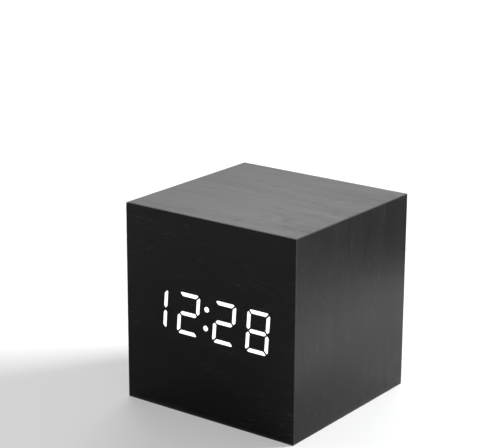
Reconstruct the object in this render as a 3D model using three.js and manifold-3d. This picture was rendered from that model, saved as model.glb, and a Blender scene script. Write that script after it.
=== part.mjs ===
// Cube desk clock in black wood-grain board, with a seven-segment display behind its front veneer.
// Millimetres, +Z up. The origin is the middle of the base, and the display looks along -Y.
// The case is a mitred box of veneered boards. Its rear cover carries the battery tray and the controls,
// and its front board carries the display, which shows 12:28.
import * as THREE from "three";
import { mergeVertices } from "three/addons/utils/BufferGeometryUtils.js";
import Module from "manifold-3d";

const wasm = await Module();
wasm.setup();

// Case
const WIDTH = 60;
const DEPTH = 57.6;
const HEIGHT = 60.4;
const VENEER = 0.4;
const BOARD_WALL = 3.6;
const FRONT_BOARD = 3;
const CORNER_BLOCK = 6.5;
const CORNER_BLOCK_LENGTH = 14;

// Display: digits, seen from the front
const DISPLAY_SHIFT = -0.7;
const DISPLAY_RAISE = 0.7;
const DISPLAY_SIDE_MARGIN = 8; // from the case's side to the row of digits
const DIGIT_HEIGHT = 12.8;
const DIGIT_SPAN_SHARE = 0.5641; // of the pitch, between the middles of the two upright strokes
const COLON_ROOM = 1.1; // by which the pitch across the colon is wider
const SEGMENT_WIDTH = 1.2;
const SEGMENT_GAP = 0.5;
const SEGMENT_CORNER = 0.32;
const SLANT_DEGREES = 4;
const DOT_DIAMETER = 1.7;
const DOT_SPACING = 5.75;
const SEGMENT_FIT = 0.03; // between a lens segment and its window in the veneer
const WELL_MARGIN = 0.1; // by which a light well is wider than its segment
const LIT_SEGMENTS = ["bc", "abged", "abged", "abcdefg"];

// Display: the stack behind the veneer
const DISPLAY_MARGIN = 1.2;
const DISPLAY_FIT = 0.25;
const LENS_PLATE = 0.6;
const REFLECTOR_DEPTH = 5.9;
const FLANGE_THICKNESS = 1.5;
const FLANGE_SIDE_GAP = 0.3;
const FLANGE_MARGIN = 5.9; // of the flange above and below the light wells' block
const FLANGE_SCREW_INSET = 3;
const POST_RADIUS = 2.4;
const POST_GAP = 0.1;
const TRACE_THICKNESS = 0.1;
const LED_LENGTH = 1.3;
const LED_WIDTH = 0.8;
const LED_HEIGHT = 0.7;
const CIRCUIT_BOARD = 1.6;
const CHIP_LENGTH = 17.9;
const CHIP_WIDTH = 7.5;
const CHIP_HEIGHT = 2.3;
const CHIP_STANDOFF = 0.15;
const CHIP_LEAD_WIDTH = 0.6;
const CHIP_LEAD_REACH = 1.3;
const CHIP_LEAD_RISE = 1.1;
const CHIP_LEADS_A_SIDE = 8;
const CHIP_PLACE_SHARE = -0.32; // of half the board's width
const BUZZER_RADIUS = 6;
const BUZZER_HEIGHT = 8;
const BUZZER_VENT_RADIUS = 1.2;
const BUZZER_VENT_DEPTH = 2;
const BUZZER_PLACE_SHARE = 0.52; // of half the board's width
const CRYSTAL_RADIUS = 1;
const CRYSTAL_LENGTH = 6;
const CRYSTAL_RAISE = 8;
const PART_GAP = 0.1; // under a soldered part

// Rear cover and battery tray
const COVER_RECESS = 0.6;
const COVER_THICKNESS = 2;
const COVER_FIT = 0.2;
const TRAY_WALL = 1.2;
const TRAY_FIT = 0.4;
const BLOCK_GAP = 0.3; // between the lower corner blocks and the tray
const CONTROL_STRIP = 10.8; // height of the strip above the tray
const CELL_EDGE = 0.5;
const NUB_DIAMETER = 3.8;
const NUB_HEIGHT = 0.8;
const CELL_GAP = 0.3;
const CELL_COUNT = 3;
const CELL_TO_DOOR = 3.05;
const RIB_HEIGHT = 2.2;
const RIB_THICKNESS = 2;
const RIB_LENGTH = 36;
const CONTACT_THICKNESS = 0.4;
const CONTACT_MARGIN = 0.95; // of a contact plate inside the outline of its cell
const CONTACT_FIT = 0.05;
const TAIL_WIDTH = 2;
const TAIL_FIT = 0.15;
const TAIL_REACH = 1.2; // by which a solder tail stands out of the tray
const SPRING_WIRE = 0.6;
const SPRING_ROOM = 3.35; // between a plate and the flat end of its cell
const SPRING_MARGIN = 1; // of the first turn inside its plate
const SPRING_TIP_SHARE = 0.6; // of the first turn's radius
const SPRING_TURNS = 2.5;
const SPRING_ROOT = 0.2; // depth by which the first turn is sunk in its plate

// Battery door and latch
const DOOR_THICKNESS = 1.6;
const DOOR_GAP = 0.3;
const DOOR_OVERLAP = 0.5;
const DOOR_SIDE_GAP = 0.3;
const DOOR_RIB_THICKNESS = 1.2;
const DOOR_RIB_SPACING = 24;
const DOOR_RIB_GAP = 0.35;
const HINGE_PIN_RADIUS = 0.7;
const HINGE_PIN_LENGTH = 1.1;
const HINGE_PIN_FIT = 0.15;
const LATCH_WIDTH = 9.2;
const LATCH_SIDE_GAP = 0.8;
const LATCH_THICKNESS = 0.8;
const LATCH_REACH = 5; // from the outer face to the back of the spring bend
const LATCH_PIVOT_GAP = 0.2;
const LATCH_PAD_HEIGHT = 1.8;
const LATCH_PAD_THICKNESS = 0.9;
const LATCH_LIP_WIDTH = 7;
const LATCH_LIP_HEIGHT = 0.75;
const LATCH_LIP_CREST = 0.45;
const LATCH_LIP_RAMP = 0.9;
const LATCH_LIP_GAP = 0.25;
const LATCH_TOP_GAP = 0.4;
const LATCH_DROP = 1.3; // of the door's top edge below its rim, at the latch
const LATCH_NOTCH = 1.9; // of the cover above the door's rim, at the latch
const SCOOP_RADIUS = 6;
const SCOOP_DEPTH = 1.1;
const SCOOP_HEIGHT = 2.1;

// Controls
const BUTTON_NAMES = ["set", "up", "down"];
const CONTROL_ROW_SHARES = [-0.3255, -0.1065, 0.1125, 0.3345]; // of the distance between its screws
const CONTROL_TO_TRAY = 1.2; // by which the row's strip stays clear of the tray
const BUTTON_FIT = 0.2;
const BUTTON_PROUD = 0.4;
const BUTTON_SHARE = 0.7097; // of its flange's radius
const BUTTON_DISH_SHARE = 0.682; // of the button's radius
const BUTTON_DISH_DEPTH = 0.25;
const BUTTON_FLANGE = 0.8;
const BUTTON_FLANGE_GAP = 0.2;
const BUTTON_FLANGE_OVERLAP = 0.1; // of the flange past its push switch
const TACT_SHARE = 0.8113; // of a push switch in the pitch of the row
const TACT_HEIGHT = 3.5;
const PLUNGER_SHARE = 0.773; // of the button's radius
const PLUNGER_FIT = 0.2;
const PLUNGER_SEAT = 1;
const PLUNGER_CLEARANCE = 0.6; // below the plunger at rest
const CONTROL_BOARD_DEPTH = 5.8; // of its rear face behind the cover's inner face
const CONTROL_BOARD_GAP = 0.3;
const CONTROL_SCREW_INSET = 2.3;
const BOSS_RADIUS = 2.1;
const SWITCH_SHARE = 0.892; // of the pitch of the row
const SWITCH_HEIGHT = 3.6;
const SWITCH_DEPTH = 4;
const SWITCH_END = 1.15;
const KNOB_SHARE = 0.4737; // of the knob's width in its way
const KNOB_HEIGHT = 1.8;
const KNOB_FIT = 0.25;
const KNOB_SEAT = 0.8;
const KNOB_CLEARANCE = 0.2;
const KNOB_PROUD = 0.3;

// Power inlet and microphone
const INLET_PLACE_SHARE = 0.564; // of the way from the middle to a corner block
const JACK_CLEARANCE = 0.3;
const JACK_LENGTH = 10;
const JACK_SHOULDER = 0.3; // of the jack's body round its collar
const JACK_COLLAR_FIT = 0.2;
const JACK_COLLAR_WALL = 0.95;
const JACK_BORE_DEPTH = 8.2;
const JACK_PIN_RADIUS = 0.65;
const JACK_PIN_FIT = 0.1;
const JACK_PIN_RECESS = 0.8;
const JACK_PIN_TAIL = 1;
const JACK_RAIL = 0.8;
const JACK_RAIL_LENGTH = 8;
const JACK_FIT = 0.15;
const MICROPHONE_CLEARANCE = 0.25;
const MICROPHONE_HEIGHT = 2.2;
const MICROPHONE_FIT = 0.15;
const MICROPHONE_PORT_RADIUS = 0.6;
const MICROPHONE_RING = 0.6;

// Screws
const COVER_SCREW = { radius: 1.3, headRadius: 2.3, headHeight: 1.2, length: 9, slot: 2.8 };
const DISPLAY_SCREW = { radius: 1, headRadius: 2, headHeight: 1.1, length: 7, slot: 2.4 };
const CONTROL_SCREW = { radius: 0.9, headRadius: 1.8, headHeight: 1, length: 5, slot: 2.2 };
const SCREW_SLOT_WIDTH = 0.6;
const SCREW_SLOT_DEPTH = 0.6;
const SCREW_EDGE = 0.4;
const SCREW_POINT = 1.2;
const SCREW_HOLE_FIT = 0.25;
const THREAD_FIT = 0.05;
const PILOT_SPARE = 0.6; // depth of a pilot hole past its screw
const COUNTERBORE_DEPTH = 1;
const COUNTERBORE_FIT = 0.3;

// Leads
const LEAD_GAP = 0.2;
const LEAD_STUB = 3;
const BATTERY_LEAD_RADIUS = 0.65;
const POWER_LEAD_RADIUS = 0.9;
const MICROPHONE_LEAD_RADIUS = 0.55;
const RIBBON_WIDTH = 8;
const RIBBON_THICKNESS = 0.6;
const RIBBON_SAG = 5;
const LEAD_SAG = 3;
const LEAD_INSET = 4; // of a soldered lead from the display board's edge

// Facets and cuts
const OVERRUN = 1;
const ROUND_SIDES = 16;
const CELL_SIDES = 20;
const SMALL_SIDES = 12;
const WIRE_SIDES = 8;
const WIRE_STEPS = 16;
const SPRING_SIDES = 5;
const SPRING_STEPS_A_TURN = 8;
const MERGE_DISTANCE = 1e-4;

// Planes and places that several pieces share
const FRONT = -DEPTH / 2;
const REAR = DEPTH / 2;
const VENEER_BACK = FRONT + VENEER;
const FRONT_BOARD_BACK = VENEER_BACK + FRONT_BOARD;
const WALL = VENEER + BOARD_WALL;
const INNER_HALF = WIDTH / 2 - WALL;
const FLOOR = WALL;
const CEILING = HEIGHT - WALL;
const COVER_OUTER = REAR - COVER_RECESS;
const COVER_INNER = COVER_OUTER - COVER_THICKNESS;

const DISPLAY_Z = HEIGHT / 2 + DISPLAY_RAISE;
const STROKE_RISE = DIGIT_HEIGHT - SEGMENT_WIDTH;
const SLANT = Math.tan(THREE.MathUtils.degToRad(SLANT_DEGREES));
const DIGIT_PITCH =
  (WIDTH - 2 * DISPLAY_SIDE_MARGIN - COLON_ROOM - SEGMENT_WIDTH) / (3 + DIGIT_SPAN_SHARE);
const DIGIT_SPAN = DIGIT_SPAN_SHARE * DIGIT_PITCH;
const DIGITS_LENGTH = 3 * DIGIT_PITCH + COLON_ROOM;
const REFLECTOR_WIDTH =
  DIGITS_LENGTH + DIGIT_SPAN + SEGMENT_WIDTH + SLANT * STROKE_RISE + 2 * DISPLAY_MARGIN;
const REFLECTOR_HEIGHT = DIGIT_HEIGHT + 2 * DISPLAY_MARGIN;
const FLANGE_WIDTH = 2 * (INNER_HALF - FLANGE_SIDE_GAP - Math.abs(DISPLAY_SHIFT));
const FLANGE_HEIGHT = REFLECTOR_HEIGHT + 2 * FLANGE_MARGIN;
const LENS_BACK = VENEER_BACK + LENS_PLATE;
const REFLECTOR_BACK = LENS_BACK + REFLECTOR_DEPTH;
const DISPLAY_BOARD_FRONT = REFLECTOR_BACK + TRACE_THICKNESS;
const DISPLAY_BOARD_BACK = DISPLAY_BOARD_FRONT + CIRCUIT_BOARD;

// The tray fills the height between the two strips, and the cells fill the tray.
const LOWER_STRIP = CORNER_BLOCK + BLOCK_GAP;
const TRAY_BASE = FLOOR + LOWER_STRIP;
const TRAY_INNER_BASE = TRAY_BASE + TRAY_WALL;
const TRAY_TOP = CEILING - CONTROL_STRIP;
const TRAY_INNER_TOP = TRAY_TOP - TRAY_WALL;
const TRAY_HALF = INNER_HALF - TRAY_FIT;
const TRAY_INNER_HALF = TRAY_HALF - TRAY_WALL;
const PLATE_OUTSIDE = TRAY_INNER_HALF - CONTACT_FIT;
const PLATE_INSIDE = PLATE_OUTSIDE - CONTACT_THICKNESS;
const CELL_PITCH = (TRAY_INNER_TOP - TRAY_INNER_BASE) / CELL_COUNT;
const CELL_DIAMETER = CELL_PITCH - CELL_GAP;
const CELL_LENGTH = 2 * PLATE_INSIDE - SPRING_ROOM - CONTACT_FIT;
const CONTACT_WIDTH = CELL_DIAMETER - 2 * CONTACT_MARGIN;
const SPRING_BASE_RADIUS = CONTACT_WIDTH / 2 - SPRING_MARGIN;
const DOOR_INNER = COVER_OUTER - DOOR_THICKNESS;
const CELL_Y = DOOR_INNER - CELL_TO_DOOR - CELL_DIAMETER / 2;
const TRAY_INNER_FLOOR = CELL_Y - CELL_DIAMETER / 2 - CELL_GAP;
const TRAY_FLOOR = TRAY_INNER_FLOOR - TRAY_WALL;
const TAIL_END = TRAY_FLOOR - TAIL_REACH;

const HINGE_Y = COVER_OUTER - DOOR_THICKNESS / 2;
const HINGE_Z = TRAY_INNER_BASE + DOOR_GAP + DOOR_THICKNESS / 2;
const DOOR_TOP = TRAY_INNER_TOP + DOOR_OVERLAP;
const DOOR_HALF = TRAY_INNER_HALF - DOOR_SIDE_GAP;
const DOOR_OPENING_TOP = DOOR_TOP + DOOR_GAP;
const LATCH_BACK = COVER_OUTER - LATCH_REACH;
const LATCH_SILL = DOOR_TOP - LATCH_DROP;
const LATCH_NOTCH_TOP = DOOR_OPENING_TOP + LATCH_NOTCH;
const LATCH_LEG_TOP = LATCH_NOTCH_TOP - LATCH_TOP_GAP;
const LATCH_LEG_BASE = LATCH_LEG_TOP - LATCH_THICKNESS;
const LATCH_BEND_TOP = LATCH_LEG_BASE - LATCH_PIVOT_GAP;
const LATCH_HALF = LATCH_WIDTH / 2;

const CONTROL_Z = CEILING - (CONTROL_STRIP - CONTROL_TO_TRAY) / 2;
const CONTROL_BOARD_WIDTH = 2 * (INNER_HALF - CORNER_BLOCK - CONTROL_BOARD_GAP);
const CONTROL_BOARD_HEIGHT = CONTROL_STRIP - CONTROL_TO_TRAY - 4 * COVER_FIT;
const CONTROL_SCREW_SPACING = CONTROL_BOARD_WIDTH - 2 * CONTROL_SCREW_INSET;
const CONTROL_PLACES = CONTROL_ROW_SHARES.map((share) => share * CONTROL_SCREW_SPACING);
const CONTROL_PITCH = CONTROL_PLACES[1] - CONTROL_PLACES[0];
const TACT_SIZE = TACT_SHARE * CONTROL_PITCH;
const BUTTON_FLANGE_RADIUS = TACT_SIZE / 2 + BUTTON_FLANGE_OVERLAP;
const BUTTON_RADIUS = BUTTON_SHARE * BUTTON_FLANGE_RADIUS;
const BUTTON_DISH_RADIUS = BUTTON_DISH_SHARE * BUTTON_RADIUS;
const PLUNGER_RADIUS = PLUNGER_SHARE * BUTTON_RADIUS;
const SWITCH_PLACE = CONTROL_PLACES[BUTTON_NAMES.length];
const SWITCH_LENGTH = SWITCH_SHARE * CONTROL_PITCH;
const KNOB_WAY = SWITCH_LENGTH - 2 * SWITCH_END;
const KNOB_WIDTH = KNOB_SHARE * (KNOB_WAY - 2 * KNOB_FIT);
const SWITCH_TRAVEL = KNOB_WAY - 2 * KNOB_FIT - KNOB_WIDTH;
const CONTROL_BOARD_REAR = COVER_INNER - CONTROL_BOARD_DEPTH;
const CONTROL_BOARD_FRONT = CONTROL_BOARD_REAR - CIRCUIT_BOARD;
const STRIP_Z = FLOOR + LOWER_STRIP / 2;
const MICROPHONE_PLACE = INLET_PLACE_SHARE * (INNER_HALF - CORNER_BLOCK);
const MICROPHONE_RADIUS = LOWER_STRIP / 2 - MICROPHONE_CLEARANCE - MICROPHONE_RING - MICROPHONE_FIT;
const JACK_PLACE = -MICROPHONE_PLACE;
const JACK_SIZE = LOWER_STRIP - 2 * JACK_CLEARANCE;
const JACK_COLLAR_RADIUS = JACK_SIZE / 2 - JACK_SHOULDER;
const JACK_BORE_RADIUS = JACK_COLLAR_RADIUS - JACK_COLLAR_WALL;
const JACK_BACK = COVER_INNER - JACK_LENGTH;

// Colours, roughness and metalness of each material
const paint = (color, roughness, metalness = 0, extra = {}) =>
  new THREE.MeshStandardMaterial({ color, roughness, metalness, ...extra });
const BLACK_VENEER = paint(0x1b1c1e, 0.45);
const FIBREBOARD = paint(0x8a6a48, 0.9);
const BLACK_PLASTIC = paint(0x1d1e20, 0.6);
const BUTTON_PLASTIC = paint(0x2b2c2e, 0.5);
const LIT_PLASTIC = paint(0xf4f7ff, 0.5, 0, { emissive: 0xffffff });
const WHITE_PLASTIC = paint(0xe6e6e2, 0.6);
const GREEN_LAMINATE = paint(0x1f5a38, 0.4);
const LED_RESIN = paint(0xf0e9b8, 0.4);
const CHIP_RESIN = paint(0x202022, 0.6);
const NICKEL = paint(0xb9bbbd, 0.3, 1);
const DARK_STEEL = paint(0x4a4b4d, 0.35, 1);
const BRASS = paint(0xb99a52, 0.35, 1);
const CELL_SLEEVE = paint(0x3a6f9e, 0.35);
const RED_SHEATH = paint(0xa51f1f, 0.5);
const BLACK_SHEATH = paint(0x1a1a1a, 0.5);
const GREY_SHEATH = paint(0x8d9095, 0.5);

// A closed solid from a geometry. Triangles that collapse where a lathe meets its axis are left out.
function solidOf(geometry) {
  const bare = geometry.clone();
  bare.deleteAttribute("normal");
  bare.deleteAttribute("uv");
  const merged = mergeVertices(bare, MERGE_DISTANCE);
  const corners = merged.index.array;
  const kept = [];
  for (let i = 0; i < corners.length; i += 3) {
    const [a, b, c] = [corners[i], corners[i + 1], corners[i + 2]];
    if (a !== b && b !== c && c !== a) kept.push(a, b, c);
  }
  return new wasm.Manifold(
    new wasm.Mesh({
      numProp: 3,
      vertProperties: new Float32Array(merged.attributes.position.array),
      triVerts: new Uint32Array(kept),
    }),
  );
}

// A geometry from a closed solid.
function geometryOf(solid) {
  const mesh = solid.getMesh();
  const positions = new Float32Array(mesh.numVert * 3);
  for (let i = 0; i < mesh.numVert; i++) {
    const at = i * mesh.numProp;
    positions.set(mesh.vertProperties.subarray(at, at + 3), i * 3);
  }
  const geometry = new THREE.BufferGeometry();
  geometry.setAttribute("position", new THREE.BufferAttribute(positions, 3));
  geometry.setIndex(new THREE.BufferAttribute(new Uint32Array(mesh.triVerts), 1));
  geometry.computeVertexNormals();
  return geometry;
}

const join = (first, ...others) => others.reduce((whole, piece) => whole.add(piece), first);
const cut = (first, ...others) => others.reduce((whole, piece) => whole.subtract(piece), first);

// A box between two corners.
function block([x0, y0, z0], [x1, y1, z1]) {
  const geometry = new THREE.BoxGeometry(x1 - x0, y1 - y0, z1 - z0);
  geometry.translate((x0 + x1) / 2, (y0 + y1) / 2, (z0 + z1) / 2);
  return solidOf(geometry);
}

// A box that is centred on x and z, from y0 to y1.
function slab(x, z, width, height, y0, y1) {
  return block([x - width / 2, y0, z - height / 2], [x + width / 2, y1, z + height / 2]);
}

// A round bar along Y at (x, z), from y0 to y1.
function barY(x, z, radius, y0, y1, sides = ROUND_SIDES) {
  const geometry = new THREE.CylinderGeometry(radius, radius, y1 - y0, sides);
  geometry.translate(x, (y0 + y1) / 2, z);
  return solidOf(geometry);
}

// A round bar along X at (y, z), from x0 to x1.
function barX(y, z, radius, x0, x1, sides = SMALL_SIDES) {
  const geometry = new THREE.CylinderGeometry(radius, radius, x1 - x0, sides);
  geometry.rotateZ(-Math.PI / 2);
  geometry.translate((x0 + x1) / 2, y, z);
  return solidOf(geometry);
}

// A prism of an outline of [x, z] points, from y0 to y1.
function prismY(outline, y0, y1) {
  const shape = new THREE.Shape(outline.map(([x, z]) => new THREE.Vector2(x, z)));
  const geometry = new THREE.ExtrudeGeometry(shape, { depth: y1 - y0, bevelEnabled: false });
  geometry.rotateX(Math.PI / 2);
  geometry.translate(0, y1, 0);
  return solidOf(geometry);
}

// A prism of an outline of [y, z] points, from x0 to x1.
function prismX(outline, x0, x1) {
  const shape = new THREE.Shape(outline.map(([y, z]) => new THREE.Vector2(y, z)));
  const geometry = new THREE.ExtrudeGeometry(shape, { depth: x1 - x0, bevelEnabled: false });
  const turn = new THREE.Matrix4().makeBasis(
    new THREE.Vector3(0, 1, 0),
    new THREE.Vector3(0, 0, 1),
    new THREE.Vector3(1, 0, 0),
  );
  geometry.applyMatrix4(turn);
  geometry.translate(x0, 0, 0);
  return solidOf(geometry);
}

// A turned form about Y from a profile of [radius, y] points that starts and ends on the axis.
function turned(profile, sides = ROUND_SIDES) {
  return new THREE.LatheGeometry(profile.map(([radius, y]) => new THREE.Vector2(radius, y)), sides);
}

const clock = new THREE.Group();

// Adds one solid to the clock as a named mesh, moved to its place.
function add(name, solid, material, place = [0, 0, 0]) {
  const mesh = new THREE.Mesh(geometryOf(solid), material);
  mesh.name = name;
  mesh.position.set(...place);
  clock.add(mesh);
}

// Boards and veneers of the case

// A mitred board or veneer on one side of the case: "top", "bottom", "left" or "right".
function sideSheet(side, outside, thickness, y0, y1) {
  const [halfWidth, low, high] = [WIDTH / 2 - outside, outside, HEIGHT - outside];
  const inner = halfWidth - thickness;
  const outlines = {
    top: [[-halfWidth, high], [-inner, high - thickness], [inner, high - thickness], [halfWidth, high]],
    bottom: [[-halfWidth, low], [halfWidth, low], [inner, low + thickness], [-inner, low + thickness]],
    left: [[-halfWidth, low], [-inner, low + thickness], [-inner, high - thickness], [-halfWidth, high]],
    right: [[halfWidth, low], [halfWidth, high], [inner, high - thickness], [inner, low + thickness]],
  };
  return prismY(outlines[side], y0, y1);
}

function addCase() {
  for (const side of ["top", "bottom", "left", "right"]) {
    add(side + "_veneer", sideSheet(side, 0, VENEER, VENEER_BACK, REAR), BLACK_VENEER);
    add(side + "_board", sideSheet(side, VENEER, BOARD_WALL, FRONT_BOARD_BACK, REAR), FIBREBOARD);
  }
  add("front_board", frontBoard(), FIBREBOARD);
  add("front_veneer", frontVeneer(), BLACK_VENEER);
  for (const [across, rightward] of [["left", -1], ["right", 1]]) {
    for (const [level, z] of [["lower", FLOOR + CORNER_BLOCK / 2], ["upper", CEILING - CORNER_BLOCK / 2]]) {
      const x = rightward * (INNER_HALF - CORNER_BLOCK / 2);
      const body = slab(x, z, CORNER_BLOCK, CORNER_BLOCK, COVER_INNER - CORNER_BLOCK_LENGTH, COVER_INNER);
      const seat = COVER_OUTER - COUNTERBORE_DEPTH;
      const pilot = pilotHole(COVER_SCREW, x, z, seat, -1);
      add(`${level}_${across}_corner_block`, cut(body, pilot), FIBREBOARD);
      add(`${level}_${across}_cover_screw`, screw(COVER_SCREW, -1), DARK_STEEL, [x, seat, z]);
    }
  }
}

// Screws

// A pan-head screw along Y whose seat is at y = 0, and which points along the sign of heading.
function screw({ radius, headRadius, headHeight, length, slot }, heading) {
  const profile = [
    [0, heading * length],
    [radius, heading * (length - SCREW_POINT)],
    [radius, 0],
    [headRadius, 0],
    [headRadius, heading * (SCREW_EDGE - headHeight)],
    [headRadius - SCREW_EDGE, -heading * headHeight],
    [0, -heading * headHeight],
  ];
  const ends = [heading * (SCREW_SLOT_DEPTH - headHeight), -heading * (headHeight + OVERRUN)];
  const [low, high] = [Math.min(...ends), Math.max(...ends)];
  return cut(
    solidOf(turned(heading < 0 ? profile : profile.reverse())),
    slab(0, 0, slot, SCREW_SLOT_WIDTH, low, high),
    slab(0, 0, SCREW_SLOT_WIDTH, slot, low, high),
  );
}

// The pilot hole of a screw whose seat is at y = seat, and which points along the sign of heading.
function pilotHole({ radius, length }, x, z, seat, heading) {
  const end = seat + heading * (length + PILOT_SPARE);
  return barY(x, z, radius + THREAD_FIT, Math.min(seat, end), Math.max(seat, end));
}

// The clearance hole of a screw, between two faces.
const screwHole = ({ radius }, x, z, y0, y1) =>
  barY(x, z, radius + SCREW_HOLE_FIT, y0 - OVERRUN, y1 + OVERRUN);

// Digits

// Outline of one segment in its digit's own upright frame, as [right, up] points.
function segmentOutline(name, inset) {
  const t = SEGMENT_WIDTH / 2 - inset;
  const shift = Math.SQRT2 * (SEGMENT_GAP / 2 + inset);
  const [half, tall, corner] = [DIGIT_SPAN / 2, STROKE_RISE / 2, SEGMENT_CORNER];
  const bar = [
    [half - t - shift, tall - t],
    [half + t - corner - shift, tall + t - corner],
    [half + t - 2 * corner - shift, tall + t],
  ];
  const upright = [
    [half, shift],
    [half + t, t + shift],
    [half + t, tall + t - 2 * corner - shift],
    [half + t - corner, tall + t - corner - shift],
    [half - t, tall - t - shift],
    [half - t, t + shift],
  ];
  const middle = [[half - t - shift, t], [half - shift, 0], [half - t - shift, -t]];
  const mirror = (points, across, up) => points.map(([x, z]) => [across * x, up * z]);
  const bothEnds = (points) => [...points, ...mirror(points, -1, 1).reverse()];
  const outlines = {
    a: bothEnds(bar),
    b: upright,
    c: mirror(upright, 1, -1),
    d: mirror(bothEnds(bar), 1, -1),
    e: mirror(upright, -1, -1),
    f: mirror(upright, -1, 1),
    g: bothEnds(middle),
  };
  return outlines[name];
}

const digitCentres = [
  -DIGITS_LENGTH / 2,
  DIGIT_PITCH - DIGITS_LENGTH / 2,
  DIGITS_LENGTH / 2 - DIGIT_PITCH,
  DIGITS_LENGTH / 2,
];
const dotHeights = [-DOT_SPACING / 2, DOT_SPACING / 2];

// A point of a digit's own frame, slanted and placed on the clock's face.
const onFace = (centre, [right, up]) => [
  DISPLAY_SHIFT + centre + right + SLANT * up,
  DISPLAY_Z + up,
];

// One prism for each wanted segment and for both dots of the colon, from y0 to y1.
function segmentPrisms(wanted, inset, y0, y1) {
  const prisms = digitCentres.flatMap((centre, digit) =>
    [...wanted[digit]].map((name) =>
      prismY(segmentOutline(name, inset).map((point) => onFace(centre, point)), y0, y1),
    ),
  );
  const dots = dotHeights.map((up) => {
    const [x, z] = onFace(0, [0, up]);
    return barY(x, z, DOT_DIAMETER / 2 - inset, y0, y1);
  });
  return [...prisms, ...dots];
}

// Display

// The places of the two screws that hold the display, at opposite corners of its flange.
const displayScrewPlaces = [-1, 1].map((side) => [
  DISPLAY_SHIFT + side * (FLANGE_WIDTH / 2 - FLANGE_SCREW_INSET),
  DISPLAY_Z - side * (FLANGE_HEIGHT / 2 - FLANGE_SCREW_INSET),
]);

function frontBoard() {
  const body = block(
    [VENEER - WIDTH / 2, VENEER_BACK, VENEER],
    [WIDTH / 2 - VENEER, FRONT_BOARD_BACK, HEIGHT - VENEER],
  );
  const opening = slab(
    DISPLAY_SHIFT,
    DISPLAY_Z,
    REFLECTOR_WIDTH + 2 * DISPLAY_FIT,
    REFLECTOR_HEIGHT + 2 * DISPLAY_FIT,
    VENEER_BACK - OVERRUN,
    FRONT_BOARD_BACK + OVERRUN,
  );
  const pilots = displayScrewPlaces.map(([x, z]) => pilotHole(DISPLAY_SCREW, x, z, DISPLAY_BOARD_BACK, -1));
  return cut(body, opening, ...pilots);
}

function frontVeneer() {
  const sheet = block([-WIDTH / 2, FRONT, 0], [WIDTH / 2, VENEER_BACK, HEIGHT]);
  return cut(sheet, ...segmentPrisms(LIT_SEGMENTS, 0, FRONT - OVERRUN, VENEER_BACK + OVERRUN));
}

function displayLens() {
  const plate = slab(DISPLAY_SHIFT, DISPLAY_Z, REFLECTOR_WIDTH, REFLECTOR_HEIGHT, VENEER_BACK, LENS_BACK);
  return join(plate, ...segmentPrisms(LIT_SEGMENTS, SEGMENT_FIT, FRONT, LENS_BACK - LENS_PLATE / 2));
}

function displayReflector() {
  const core = slab(DISPLAY_SHIFT, DISPLAY_Z, REFLECTOR_WIDTH, REFLECTOR_HEIGHT, LENS_BACK, REFLECTOR_BACK);
  const flange = slab(
    DISPLAY_SHIFT,
    DISPLAY_Z,
    FLANGE_WIDTH,
    FLANGE_HEIGHT,
    FRONT_BOARD_BACK,
    FRONT_BOARD_BACK + FLANGE_THICKNESS,
  );
  const postBack = DISPLAY_BOARD_FRONT - POST_GAP;
  const posts = displayScrewPlaces.map(([x, z]) => barY(x, z, POST_RADIUS, FRONT_BOARD_BACK, postBack));
  const holes = displayScrewPlaces.map(([x, z]) =>
    screwHole(DISPLAY_SCREW, x, z, FRONT_BOARD_BACK, postBack),
  );
  const everySegment = digitCentres.map(() => "abcdefg");
  const wells = segmentPrisms(everySegment, -WELL_MARGIN, LENS_BACK - OVERRUN, REFLECTOR_BACK + OVERRUN);
  return cut(join(core, flange, ...posts), ...holes, ...wells);
}

// The copper layer with one light-emitting diode behind each segment and dot.
function ledArray() {
  const traces = slab(
    DISPLAY_SHIFT,
    DISPLAY_Z,
    REFLECTOR_WIDTH,
    REFLECTOR_HEIGHT,
    REFLECTOR_BACK,
    DISPLAY_BOARD_FRONT,
  );
  const [half, quarter] = [DIGIT_SPAN / 2, STROKE_RISE / 4];
  const places = {
    a: [0, 2 * quarter], d: [0, -2 * quarter], g: [0, 0],
    b: [half, quarter], c: [half, -quarter], e: [-half, -quarter], f: [-half, quarter],
  };
  const diode = ([x, z], level) =>
    slab(
      x,
      z,
      level ? LED_LENGTH : LED_WIDTH,
      level ? LED_WIDTH : LED_LENGTH,
      REFLECTOR_BACK - LED_HEIGHT,
      DISPLAY_BOARD_FRONT - TRACE_THICKNESS / 2,
    );
  const inDigits = digitCentres.flatMap((centre) =>
    Object.entries(places).map(([name, place]) => diode(onFace(centre, place), "adg".includes(name))),
  );
  const inDots = dotHeights.map((up) => diode(onFace(0, [0, up]), true));
  return join(traces, ...inDigits, ...inDots);
}

function displayBoard() {
  const body = slab(
    DISPLAY_SHIFT,
    DISPLAY_Z,
    FLANGE_WIDTH,
    FLANGE_HEIGHT,
    DISPLAY_BOARD_FRONT,
    DISPLAY_BOARD_BACK,
  );
  const holes = displayScrewPlaces.map(([x, z]) =>
    screwHole(DISPLAY_SCREW, x, z, DISPLAY_BOARD_FRONT, DISPLAY_BOARD_BACK),
  );
  return cut(body, ...holes);
}

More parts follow.
